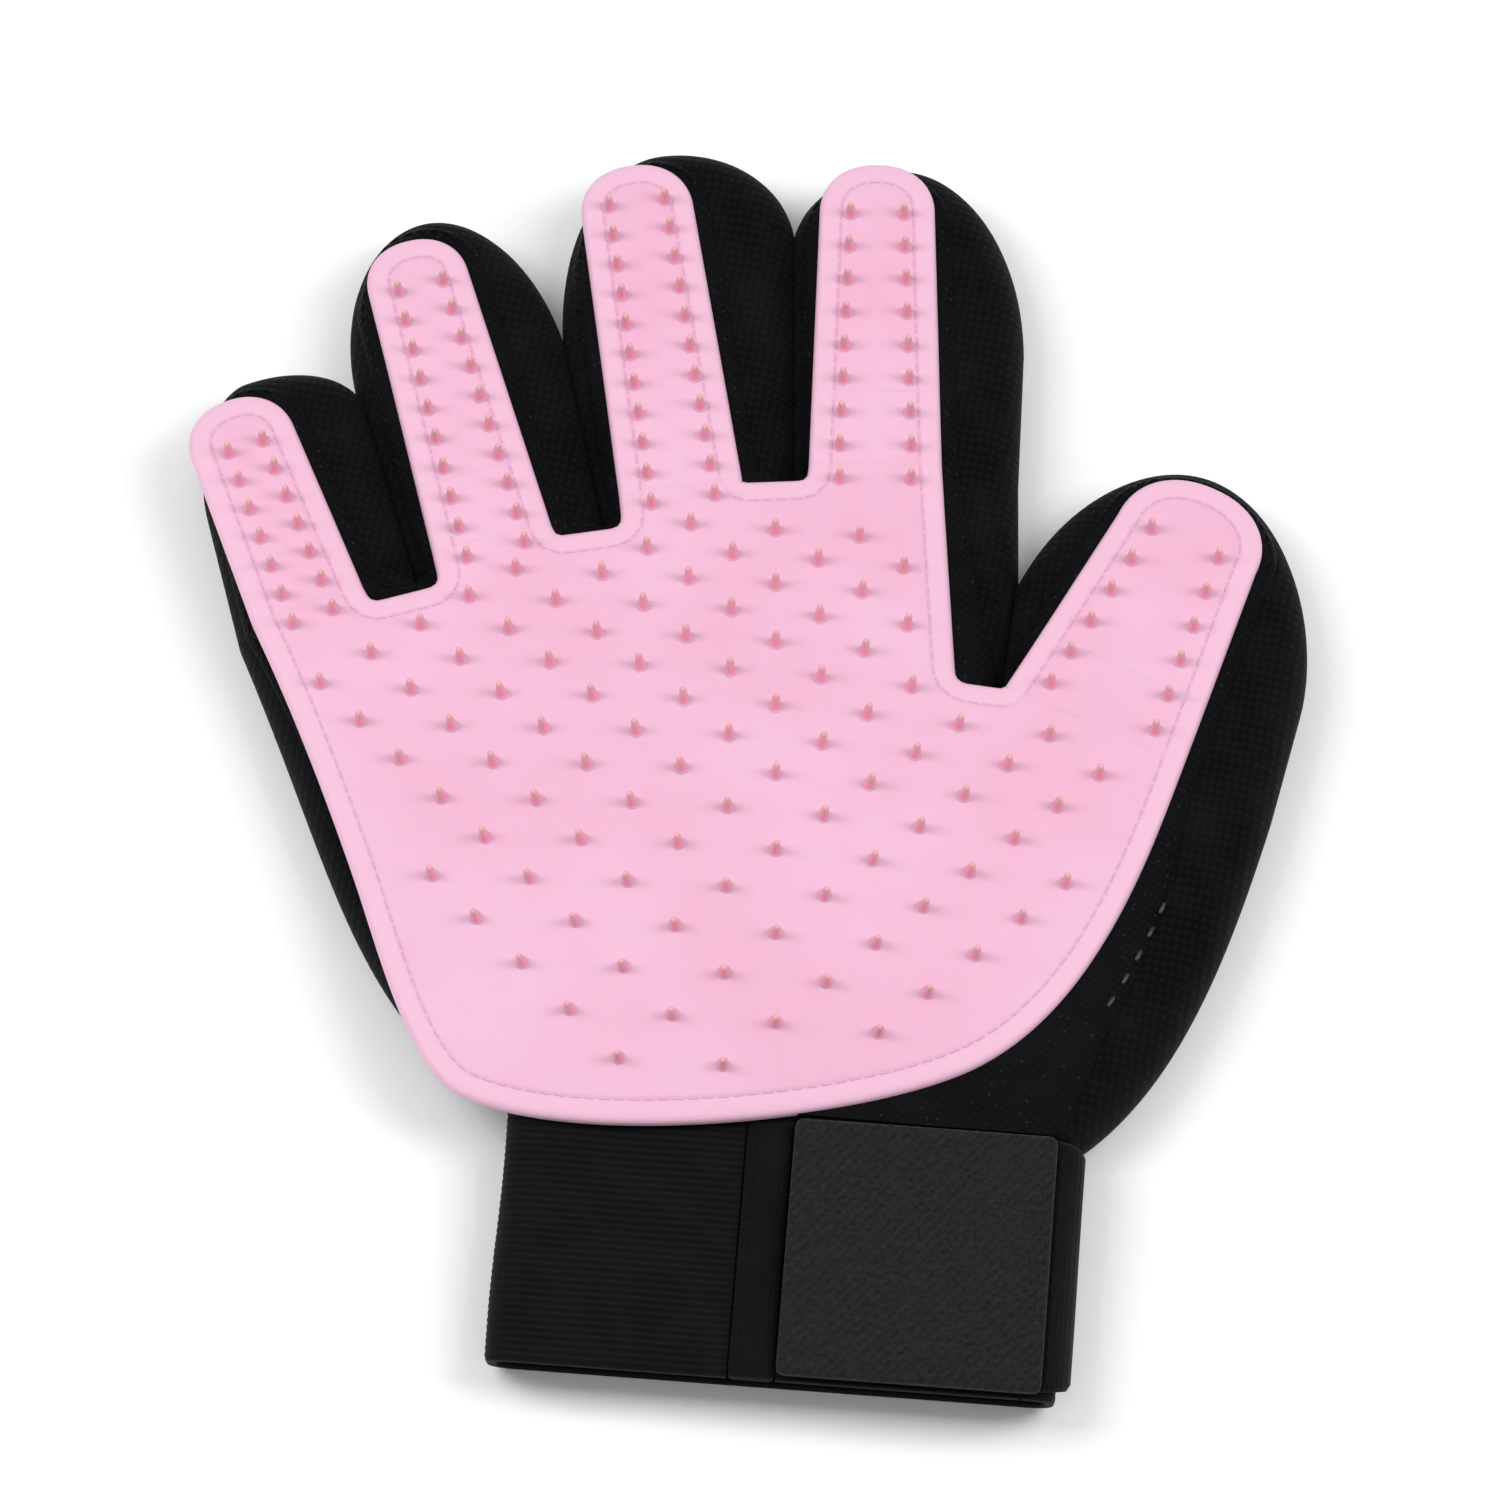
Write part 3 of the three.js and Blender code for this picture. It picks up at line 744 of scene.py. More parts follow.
def clear_of_heel(spots):
    """Leaves out the bristles that would stand in the plain border round the heel."""
    x, y = spots.T
    border = np.where(x < CORNER_LEFT_OF, CORNER_BORDER, BORDER)
    border = np.where(y > FINGERS_ABOVE, FINGER_BORDER, border)
    return spots[distance(spots, [PAD_PALM_SIDES["heel"]]) > border]


BRISTLE_PROFILE = [(-0.35, 1.5), (0.02, 1.32), (0.22, 1.1), (0.6, 0.97), (1.3, 0.88),
                   (2.6, 0.75), (3.7, 0.62), (4.25, 0.5), (4.5, 0.35), (4.6, 0.15)]
BRISTLE_SIDES = 12
SLOPE_STEP = 0.5


def tube_faces(first, rings, sides, turned=False):
    """Faces of a closed tube, whose rings of points are stored one after the other."""
    faces = []
    for low in range(first, first + (rings - 1) * sides, sides):
        for i in range(sides):
            j = (i + 1) % sides
            faces.append([low + i, low + j, low + sides + j, low + sides + i])
    last = first + (rings - 1) * sides
    faces.append([last + i for i in range(sides)])
    faces.append([first + i for i in reversed(range(sides))])
    return [[face[0], *face[:0:-1]] for face in faces] if turned else faces


def bristle_stand(spot, sides):
    """A bristle's foot, the way it points, and two directions across it."""
    around = np.array([spot, spot + (SLOPE_STEP, 0), spot + (0, SLOPE_STEP)])
    height = bulge(around)
    up = np.array([height[0] - height[1], height[0] - height[2], SLOPE_STEP])
    up /= np.linalg.norm(up)
    side = np.cross((0, 1, 0), up)
    side /= np.linalg.norm(side)
    foot = np.array([*spot, pad_heights(around, sides)[0][0]])
    return foot, up, side, np.cross(up, side)


def bristles(spots, sides):
    """Points, faces and how far up each point is, for all the bristles of a piece."""
    vertices, faces, tall = [], [], []
    top = BRISTLE_PROFILE[-1][0]
    for spot in spots:
        foot, up, side, other = bristle_stand(spot, sides)
        faces += tube_faces(len(vertices), len(BRISTLE_PROFILE), BRISTLE_SIDES)
        for z, radius in BRISTLE_PROFILE:
            for angle in np.arange(BRISTLE_SIDES) * math.tau / BRISTLE_SIDES:
                out = side * math.cos(angle) + other * math.sin(angle)
                vertices.append(foot + up * z + radius * out)
                tall.append(max(z, 0) / top)
    return np.array(vertices).reshape(-1, 3), faces, np.array(tall)


# %% [markdown]
# ## Stitches
#
# Sewing thread shows as a row of short rounded bars, each sunk a little into
# the cloth. A tube along the whole seam would read as a cord, so each stitch is
# its own small capsule, laid along the seam with a gap to the next.

# %% Thread
def capsules(line, height_at, length, gap, radius, lift=0.0, sides=6):
    """Points and faces of a row of stitches along a line on a surface."""
    total = lengths_along(line)[-1]
    vertices, faces = [], []
    along = np.array([-0.5, -0.46, -0.3, 0, 0.3, 0.46, 0.5]) * length
    swell = np.array([0.25, 0.72, 0.95, 1, 0.95, 0.72, 0.25]) * radius
    for k in range(int(total // (length + gap))):
        middle = (k + 0.5) * (length + gap)
        spots = walk(line, np.clip(middle + along, 0, total))
        heights = height_at(spots) + lift
        direction = spots[-1] - spots[0]
        direction = direction / max(np.hypot(*direction), 1e-9)
        across = np.array([-direction[1], direction[0], 0])
        faces += tube_faces(len(vertices), len(along), sides, turned=True)
        for spot, z, r in zip(spots, heights, swell):
            for angle in np.arange(sides) * math.tau / sides:
                out = across * math.cos(angle) + np.array([0, 0, math.sin(angle)])
                vertices.append(np.array([*spot, z]) + r * out)
    return np.array(vertices).reshape(-1, 3), faces


def offset_line(line, sides, depth):
    """A line's inset that stays a true distance from every side."""
    moved = inset(line, depth)
    return moved[distance(moved, sides) > depth - 0.12]


FAR_INSIDE = 20.0


def sew(vertices, body, values, lines, height_at, **stitch):
    """Adds rows of stitches to a body, and marks which of its points are thread."""
    before = len(vertices)
    for line in lines:
        more, more_faces = capsules(line, height_at, **stitch)
        body += [[v + len(vertices) for v in face] for face in more_faces]
        vertices = np.concatenate([vertices, more])
    thread = len(vertices) - before
    values = {key: np.append(value, np.full(thread, FAR_INSIDE if key == "depth" else 0.0))
              for key, value in values.items()}
    values["thread"] = np.append(np.zeros(before), np.ones(thread))
    return vertices, values


SEAM_INSET = 0.9
SEAM_STITCH = dict(length=1.7, gap=0.8, radius=0.2, lift=0.05)
PAD_STITCH = dict(length=1.9, gap=0.7, radius=0.2, lift=0.02)
TAPE_STITCH = dict(length=2.0, gap=1.0, radius=0.24, lift=0.06)
TURN_STITCH = dict(length=2.0, gap=1.0, radius=0.26, lift=0.0)
TACK = dict(length=2.4, gap=2.6, radius=0.45, lift=0.1, sides=10)


def strip_piece(piece_name, outline, sides, lines):
    """A thin closed plate of cloth that lies on the fabric, with its seam stitches."""
    points, faces, rim = fill(outline, STRIP_DEPTHS, FABRIC_PITCH)
    top, bottom, depth = strip_heights(points, sides, lines)
    vertices, body, sharp = solid(points, faces, rim, top, bottom)
    seams = [offset_line(part, sides, SEAM_INSET) for kind, part in outline if kind == "side"]
    vertices, values = sew(vertices, body, {"depth": np.tile(depth, 2)}, seams,
                           lambda at: strip_heights(at, sides, lines)[0], **SEAM_STITCH)
    place(piece_name, vertices, body, sharp, **values)


def pad_piece(piece_name, outline, sides, spots):
    """A length of silicone sheet with its bristles and its stitches, as one mesh."""
    points, faces, rim = fill(outline, PAD_DEPTHS, PAD_PITCH)
    top, bottom, depth = pad_heights(points, sides)
    vertices, body, sharp = solid(points, faces, rim, top, bottom)
    more, more_faces, tall = bristles(spots, sides)
    body += [[v + len(vertices) for v in face] for face in more_faces]
    values = {"depth": np.concatenate([depth, depth, np.full(len(more), FAR_INSIDE)]),
              "tall": np.append(np.zeros(len(vertices)), tall)}
    seams = [offset_line(part, sides, STITCH_INSET) for kind, part in outline if kind == "side"]
    vertices, values = sew(np.concatenate([vertices, more]), body, values, seams,
                           lambda at: pad_heights(at, sides)[0], **PAD_STITCH)
    place(piece_name, vertices, body, sharp, **values)


# %% Make the pad, the palm-side cloth and their thread
PAD_ENDS = "heel", "_notch", "thumb_notch"
strip_piece("palm_side_cloth", strip_outline, every_side(STRIP_PALM_SIDES, STRIP_SIDES),
            fabric_lines())
pad_piece("palm_silicone", palm_outline(PAD_PALM_SIDES, pad_cut, *PAD_ENDS),
          every_side(PAD_PALM_SIDES, PAD_SIDES), clear_of_heel(bristle_spots("palm_pad")))
for name in NAMES:
    spots = {"root": [], "end": []}
    finger = FINGERS[name]
    for node in ("_lower_pad", "_tip_pad"):
        for u, s in finger.local(bristle_spots(name + node)):
            s *= 1 + BRISTLES_SPREAD[name] / PACKED_TIP[name]
            spots["root" if s < split_of(name) else "end"].append(finger.at(u, s))
    for part in ("root", "end"):
        strip_piece(f"{name}_{part}_cloth", finger_outline(name, part, strip_side, strip_cut),
                    every_side(STRIP_PALM_SIDES, STRIP_SIDES, name), fabric_lines(name))
        pad_piece(f"{name}_{part}_silicone", finger_outline(name, part, pad_side, pad_cut),
                  every_side(PAD_PALM_SIDES, PAD_SIDES, name), spots[part])
tell(key for key in PIECES if key.endswith(("_cloth", "_silicone")))

# %% [markdown]
# ## The cuff
#
# The cuff is a flattened tube of ribbed elastic. Its front is closed by a
# bound end and by the tab. A band follows a line round the wrist, seen from the
# end, and its outer face swells into one fine rib after another.

# %% A band along a line
RIB_PITCH, RIB_HIGH = 1.3, 0.14
STEPS_IN_RIB = 6
SLACK = 0.22


def band(piece_name, line, low, high, thick, rib=0.0, recess=0.0):
    """A closed strip of elastic or tape that follows a line of (x, z) points."""
    line = resample(np.asarray(line, float), 1.4)
    step = np.gradient(line, axis=0)
    step /= np.hypot(*step.T)[:, None]
    out = np.stack([-step[:, 1], step[:, 0]], -1)
    count = int((high - low) / (RIB_PITCH / STEPS_IN_RIB if rib else 1.2))
    y = np.linspace(low, high, count + 1)
    edge = np.minimum(y - low, high - y)
    half = thick / 2 * (0.35 + 0.65 * side_profile(edge, 0.9))
    ribs = rib * (np.abs(np.cos(math.pi * (y - low) / RIB_PITCH)) - 1)
    lengths = np.linspace(0, 1, len(line))
    under = 1 - np.clip((line[:, 1] - line[:, 1].min()) / max(np.ptp(line[:, 1]), 1), 0, 1)
    near_mouth = np.clip(1 - (y - low) / (high - low), 0, 1)
    shift = recess * near_mouth[:, None] * under[None, :]
    slack = SLACK * np.sin(lengths * 41)[None, :] * np.sin(y / 7.7)[:, None]
    layers = []
    for lift in (half + ribs, -half):
        lift = lift[:, None]
        x = line[None, :, 0] + out[None, :, 0] * (lift + slack)
        z = line[None, :, 1] + out[None, :, 1] * (lift + slack)
        layers.append(np.stack([x, y[:, None] + shift, z], -1).reshape(-1, 3))
    wide, layer = len(line), len(layers[0])
    quads = [[j * wide + i, j * wide + i + 1, (j + 1) * wide + i + 1, (j + 1) * wide + i]
             for j in range(count) for i in range(wide - 1)]
    body = [q[::-1] for q in quads] + [[v + layer for v in q] for q in quads]
    border = (list(range(wide)) + [j * wide + wide - 1 for j in range(1, count + 1)]
              + [count * wide + i for i in reversed(range(wide - 1))]
              + [j * wide for j in reversed(range(1, count))])
    for a, b in zip(border, border[1:] + border[:1]):
        body.append([a, b, b + layer, a + layer])
    place(piece_name, np.concatenate(layers), body)


def arc(centre, radius, first, last, count=9):
    """Points on a circle, from one angle to another in degrees."""
    angles = np.radians(np.linspace(first, last, count))
    return np.asarray(centre) + radius * np.stack([np.cos(angles), np.sin(angles)], -1)


CUFF_ROUND, ELASTIC = 5.0, 2.0
TAKEN_IN, MOUTH_SET_BACK = 1.5, 3.4
CUFF_BOTTOM = float(CUFF_LOW[1])
mid_half = CUFF_HALF - ELASTIC / 2
mid_high = float(CUFF_HIGH[2]) - ELASTIC / 2
mid_round = CUFF_ROUND - ELASTIC / 2
corner_x = mid_half - mid_round
panel_left, panel_right = (corner[0] for corner in packed_box("cuff_front_panel"))
binding_left = packed_box("cuff_end_binding")[0][0]
near_x = corner_x - TAKEN_IN
round_wrist = np.concatenate([
    [(panel_right + 0.3, mid_high)],
    arc((near_x, mid_high - mid_round), mid_round, 90, 0),
    arc((near_x, ELASTIC / 2 + mid_round), mid_round, 0, -90),
    arc((-corner_x, ELASTIC / 2 + mid_round), mid_round, 270, 180),
    arc((-corner_x, mid_high - mid_round), mid_round, 180, 90),
    [(binding_left - 0.3, mid_high)]])
band("cuff_ribbed_elastic", round_wrist, CUFF_BOTTOM, CUFF_TOP, ELASTIC, RIB_HIGH,
     MOUTH_SET_BACK)
band("cuff_front_elastic", [(panel_left, mid_high), (panel_right, mid_high)],
     CUFF_BOTTOM, CUFF_TOP, ELASTIC, RIB_HIGH)

# %% Flat pieces of tape: the bound end, the loop patch and the tab
def flat_piece(piece_name, node, corner, rim, rough=0.0, seams=(), crown=0.0,
               longer=(0.0, 0.0)):
    """A soft-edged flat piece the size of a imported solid, with stitch rows near its sides."""
    (x0, y0, z0), (x1, y1, z1) = packed_box(node)
    y0, y1 = y0 - longer[0], y1 + longer[1]
    middle = (x0 + x1) / 2
    corners = [(middle, y0), (x0, y0), (x0, y1), (x1, y1), (x1, y0), (middle, y0)]
    outline = [("side", rounded(corners, corner))]
    depths = rim * np.array([0.12, 0.4, 0.8, 1.3])
    points, faces, edge = fill(outline, depths, 1.25)
    sides = [outline[0][1]]

    def top_at(at):
        depth = distance(at, sides)
        x, y = at.T
        nap = rough * (np.sin(x * 2.9 + 2 * np.sin(y * 1.7)) * np.sin(y * 2.3 + x * 0.9)
                       + 0.5 * np.sin(x * 5.3 - y * 4.1))
        swell = crown * side_profile(depth, (x1 - x0) / 2)
        edge_drop = rim * (1 - side_profile(depth, rim)) * 0.8
        return z1 - crown - edge_drop + swell + nap * np.minimum(depth, 1)

    depth = distance(points, sides)
    bottom = z0 + rim * 0.3 * (1 - side_profile(depth, rim))
    vertices, body, sharp = solid(points, faces, edge, top_at(points), bottom)
    rows = [np.array([(x, y0 + 1.2), (x, y1 - 1.2)]) for x in seams]
    vertices, values = sew(vertices, body, {"depth": np.tile(depth, 2)}, rows, top_at,
                           **TAPE_STITCH)
    place(piece_name, vertices, body, sharp, **values)


TAB_LONGER = (1.0, 2.6)
tab_right = packed_box("tab_panel")[1][0]
flat_piece("cuff_end_tape", "cuff_end_binding", 0.8, 0.8, seams=(binding_left + 1.3,), crown=0.3)
flat_piece("cuff_loop_pile", "cuff_loop_patch", 2, 0.35, rough=0.06)
flat_piece("tab_loop_pile", "tab_panel", 1.6, 0.7, rough=0.07, seams=(tab_right - 1.6,),
           longer=TAB_LONGER)
tell(["cuff_ribbed_elastic", "cuff_front_elastic", "cuff_end_tape", "tab_loop_pile"])

# %% [markdown]
# ## Hook tape
#
# Hook tape is a thin plate covered with tiny bent hooks. They face down into the
# loop pile, and show when the tab is peeled. Each hook is a small tapering bar
# that bends over at its end.

# %% Hook tape
HOOK_PITCH, MARGIN_BEFORE, MARGIN_AFTER = 1.7, 2.0, 1.5
HOOK_SHAPE = [(0.0, 0.1, 0.2), (0.0, -0.22, 0.16), (0.1, -0.42, 0.12), (0.3, -0.5, 0.08)]
HOOK_SUNK = 0.1
flat_piece("tab_hook_tape", "tab_hook_patch", 2, 0.3)


def hooks():
    """One piece of all the hooks on the underside of the tape, bent to either side in turn."""
    low, high = packed_box("tab_hook_patch")
    xs, ys = (np.arange(low[i] + MARGIN_BEFORE, high[i] - MARGIN_AFTER, HOOK_PITCH)
              for i in (0, 1))
    vertices, faces = [], []
    for x in xs:
        for k, y in enumerate(ys):
            way = 1 if k % 2 else -1
            faces += tube_faces(len(vertices), len(HOOK_SHAPE), 4, turned=way > 0)
            for dx, dz, half in HOOK_SHAPE:
                ring = [(-half, -half), (half, -half), (half, half), (-half, half)]
                vertices += [(x + way * dx + way * a, y + b, low[2] + dz + HOOK_SUNK)
                             for a, b in ring]
    place("tab_hooks", np.array(vertices), faces)


hooks()
tell(["tab_hook_tape", "tab_hooks"])

# %% [markdown]
# ## The tab's sewn edge
#
# The tab is sewn on at the thumb side by a tape that turns round the side of the
# cuff, on most of a quarter circle. The tape belongs to the cuff and stays there
# when the tab is peeled, so it is a band along an arc.

# %% The turn, and its stitches
TURN_X, TURN_Z, TURN_RADIUS = 45.5 - TAKEN_IN, 11.4, 6.35
TAPE, TAPE_SET_BACK = 2.1, 2.4
TURN_FROM, TURN_TO = 75.6, 0
SEAM_OUT = 3.0
sewn_low, sewn_high = (corner[1] for corner in packed_box("tab_sewn_edge"))
band("tab_sewn_tape", arc((TURN_X, TURN_Z), TURN_RADIUS, TURN_FROM, TURN_TO, 14),
     sewn_low, sewn_high + TAB_LONGER[1], TAPE, recess=TAPE_SET_BACK)
seam_x = TURN_X + SEAM_OUT
seam_z = TURN_Z + math.sqrt((TURN_RADIUS + TAPE / 2) ** 2 - SEAM_OUT ** 2)
points, faces = capsules(np.array([(seam_x, sewn_low + 1), (seam_x, sewn_high + 1)]),
                         lambda at: np.full(len(at), seam_z), **TURN_STITCH)
place("tab_sewn_stitches", points, faces)
tell(["tab_sewn_tape", "tab_sewn_stitches"])

# %% [markdown]
# ## The gusset's tacks
#
# Beside the thumb the side panel is tacked to the palm cloth with a few long
# stitches of shiny thread, which catch the light.

# %% Tacks
TACKED_FROM, TACKED_TO = 23, 51
TACK_INSET = (-0.6, 2.6)


def cloth_top(at):
    """The palm cloth's upper face, wherever it is asked for."""
    return strip_heights(at, every_side(STRIP_PALM_SIDES, STRIP_SIDES), fabric_lines())[0]


tack_line = STRIP_PALM_SIDES["thumb_side"]
lengths = lengths_along(tack_line)
tacked = resample(tack_line[(lengths > TACKED_FROM) & (lengths < TACKED_TO)], 0.6)
tacked = inset(tacked, np.linspace(*TACK_INSET, len(tacked))[:, None])
points, faces = capsules(tacked, cloth_top, **TACK)
place("gusset_tacks", points, faces)
tell(["gusset_tacks"])

# %% [markdown]
# ## Riding
#
# The palm and tab pieces ride on the imported body that carries them; the finger
# pieces have their placement baked into their points. Each piece names the
# imported solids it stands for, which are hidden.

# %% Bodies, replaced solids and finishes
HAND_PIECES = {
    "palm_fabric_body": ("mesh_fabric", ["back_panel", "little_side_gusset", "thumb_side_gusset",
                                         "little_ring_web", "ring_middle_web",
                                         "middle_index_web", "index_thumb_web"]),
    "palm_side_cloth": ("palm_fabric", ["palm_panel"]),
    "palm_silicone": ("bristle_silicone", ["palm_pad"]),
    "cuff_ribbed_elastic": ("ribbed_elastic", ["cuff_elastic"]),
    "cuff_front_elastic": ("ribbed_elastic", ["cuff_front_panel"]),
    "cuff_end_tape": ("binding_tape", ["cuff_end_binding"]),
    "cuff_loop_pile": ("loop_fabric", ["cuff_loop_patch"]),
    "tab_sewn_tape": ("binding_tape", ["tab_sewn_edge"]),
    "tab_sewn_stitches": ("binding_tape", []),
    "gusset_tacks": ("palm_fabric", []),
}
TAB_PIECES = {
    "tab_loop_pile": ("loop_fabric", ["tab_panel"]),
    "tab_hook_tape": ("hook_tape", ["tab_hook_patch"]),
    "tab_hooks": ("hook_tape", []),
}
for body, group in (("hand", HAND_PIECES), ("tab", TAB_PIECES)):
    for key, (finish, nodes) in group.items():
        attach(PIECES[key], body)
        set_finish(PIECES[key], finish)
        if nodes:
            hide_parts(*nodes)
LAYERS = {"fabric": ("mesh_fabric", "_sleeve"), "cloth": ("palm_fabric", "_palm_strip"),
          "silicone": ("bristle_silicone", "_pad")}
for name in NAMES:
    for part, stretch in (("root", "_lower"), ("end", "_tip")):
        for layer, (finish, node) in LAYERS.items():
            piece = PIECES[f"{name}_{part}_{layer}"]
            bend_finger(piece, name, part)
            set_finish(piece, finish)
            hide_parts(name + stretch + node)

# %% [markdown]
# ## Finishes
#
# Colours are written as the usual hex values and turned to linear light by one
# function. One function adds a node with its settings and its links. Patterns
# are scaled from real millimetres through the object's own coordinates, so a
# thread is as wide on a finger as on the palm.

# %% Colour and node helpers
def linear(code):
    """A hex colour as linear light with full alpha."""
    parts = [int(code[i:i + 2], 16) / 255 for i in (0, 2, 4)]
    return [c / 12.92 if c <= 0.04045 else ((c + 0.055) / 1.055) ** 2.4 for c in parts] + [1.0]


def add(tree, kind, inputs=None, output=0, **settings):
    """Adds a node, sets it, links what is given as a socket, and returns one output."""
    made = tree.nodes.new(kind)
    for key, value in settings.items():
        setattr(made, key, value)
    for key, value in (inputs or {}).items():
        if isinstance(value, bpy.types.NodeSocket):
            tree.links.new(value, made.inputs[key])
        else:
            made.inputs[key].default_value = value
    return made.outputs[output] if made.outputs else None


def start_material(name):
    """An empty material with its output, and the object's millimetres as a vector."""
    material = bpy.data.materials.new(name)
    material.use_nodes = True
    tree = material.node_tree
    tree.nodes.clear()
    where = add(tree, "ShaderNodeTexCoord", output="Object")
    millimetres = add(tree, "ShaderNodeVectorMath", {0: where, "Scale": 1 / MM},
                      operation="SCALE")
    return material, tree, millimetres


def finish_material(tree, **sockets):
    """The shader that ends a material. Names with spaces are written with underscores."""
    shader = add(tree, "ShaderNodeBsdfPrincipled",
                 {key.replace("_", " "): value for key, value in sockets.items()})
    add(tree, "ShaderNodeOutputMaterial", {"Surface": shader})


def numbers(tree, operation, a, b=0.0, c=0.0):
    """Arithmetic on up to three values."""
    return add(tree, "ShaderNodeMath", {0: a, 1: b, 2: c}, operation=operation)


def blended(tree, factor, first, second):
    """A colour between two others."""
    return add(tree, "ShaderNodeMix", {0: factor, 6: first, 7: second}, output=2,
               data_type="RGBA")


def between(tree, value, low, high, to_low=0.0, to_high=1.0):
    """A value's range stretched to another and held there."""
    return add(tree, "ShaderNodeMapRange", {0: value, 1: low, 2: high, 3: to_low, 4: to_high})

# %% [markdown]
# ### Silicone
#
# Pad and bristles are one moulding of soft silicone rubber. Silicone is matt to
# satin, and light travels a millimetre or two inside it, which softens every
# shadow and makes thin tips glow. The sheet is a little paler towards its rim.
# The bristles are painted a deeper pink at the foot, as painted bounce light
# between the bristles and the sheet, fading to a paler peach tip.

# %% Silicone
def silicone():
    """Moulded silicone rubber, satin, with light scattering inside."""
    material, tree, where = start_material("pink_silicone_rubber")
    depth, tall, sewn = (add(tree, "ShaderNodeAttribute", output="Fac", attribute_name=kind)
                         for kind in ("depth", "tall", "thread"))
    cloud = add(tree, "ShaderNodeTexNoise", {"Vector": where, "Scale": 0.035, "Detail": 3.0})
    sheet = blended(tree, between(tree, cloud, 0.35, 0.65), linear("e9bbd3"), linear("e8b3cc"))
    sheet = blended(tree, between(tree, depth, 3.0, 4.6), linear("eabcd3"), sheet)
    line = between(tree, numbers(tree, "ABSOLUTE", numbers(tree, "SUBTRACT", depth, STITCH_INSET)),
                   0.2, 0.6, 0.25, 0.0)
    sheet = blended(tree, line, sheet, linear("e4a2c2"))
    # Painted bounce light: each bristle's foot is painted a deeper pink, fading to a paler peach tip.
    bristle = blended(tree, between(tree, tall, 0.25, 0.9), linear("f4a2bd"), linear("e8b0b4"))
    colour = blended(tree, between(tree, tall, 0.0, 0.12), sheet, bristle)
    colour = blended(tree, numbers(tree, "MULTIPLY", sewn, 0.4), colour, linear("e6a8c6"))
    skin = add(tree, "ShaderNodeTexNoise", {"Vector": where, "Scale": 2.6, "Detail": 4.0})
    grain = add(tree, "ShaderNodeTexNoise", {"Vector": where, "Scale": 0.4, "Detail": 2.0})
    rough = between(tree, grain, 0.3, 0.7, 0.40, 0.52)
    bump = add(tree, "ShaderNodeBump", {"Height": skin, "Strength": 0.25, "Distance": 0.05 * MM})
    finish_material(tree, Base_Color=colour, Roughness=rough, Normal=bump, IOR=1.41,
                    Subsurface_Weight=0.22, Subsurface_Radius=(1.0, 0.5, 0.6),
                    Subsurface_Scale=0.9 * MM, Specular_IOR_Level=0.3)
    return material


# %% [markdown]
# ### The black cloths
#
# Dyed black polyester reflects almost nothing by itself. What the eye reads is
# the weave: threads that catch a little light on their crowns, gaps that stay
# dark, and a faint sheen towards the edges. The weave is also painted into the
# colour: thread crowns lighter as painted highlight, gaps darker as painted shade.

# %% Woven and knitted cloth
def thread_pattern(tree, where, pitch, turned=0.0, bands="X"):
    """A rise and fall across parallel threads, one every pitch millimetres."""
    spun = add(tree, "ShaderNodeMapping", {"Vector": where, "Rotation": (0.0, 0.0, turned)})
    return add(tree, "ShaderNodeTexWave", {"Vector": spun, "Scale": math.tau / (20 * pitch),
                                           "Distortion": 0.6, "Detail": 1.0}, output=1,
               bands_direction=bands)


def cloth(name, dark, light, pitch, turned, rough, sheen, relief, glint=0.0):
    """A cloth of crossing threads, with crowns painted lighter and gaps painted darker as painted
    highlight and shade, and slow random changes of tone.
    """
    material, tree, where = start_material(name)
    warp = thread_pattern(tree, where, pitch, turned, "X")
    weft = thread_pattern(tree, where, pitch * 1.15, turned, "Y")
    weave = numbers(tree, "MULTIPLY", warp, weft)
    cloud = add(tree, "ShaderNodeTexNoise", {"Vector": where, "Scale": 0.09, "Detail": 5.0})
    fuzz = add(tree, "ShaderNodeTexNoise", {"Vector": where, "Scale": 1.9, "Detail": 3.0})
    # Painted highlight and shade: the weave lightens the colour on thread crowns and darkens it in
    # the gaps; the cloud adds slow random tone.
    shade = numbers(tree, "MULTIPLY_ADD", weave, 0.55, between(tree, cloud, 0.3, 0.7, 0.0, 0.45))
    colour = blended(tree, shade, linear(dark), linear(light))
    if glint:
        # Painted glints: pale grey specks painted into the colour stand in for light caught by shiny
        # fibres.
        speck = add(tree, "ShaderNodeTexVoronoi", {"Vector": where, "Scale": 0.55})
        spark = between(tree, speck, 0.16, 0.05, 0.0, glint)
        colour = blended(tree, spark, colour, linear("606468"))
    height = numbers(tree, "ADD", weave, numbers(tree, "MULTIPLY", fuzz, 0.6))
    bump = add(tree, "ShaderNodeBump", {"Height": height, "Strength": 0.8,
                                        "Distance": relief * MM})
    finish_material(tree, Base_Color=colour, Roughness=rough, Normal=bump,
                    Specular_IOR_Level=0.05, Sheen_Weight=sheen, Sheen_Roughness=0.5,
                    Sheen_Tint=(0.55, 0.58, 0.62, 1.0))
    return material


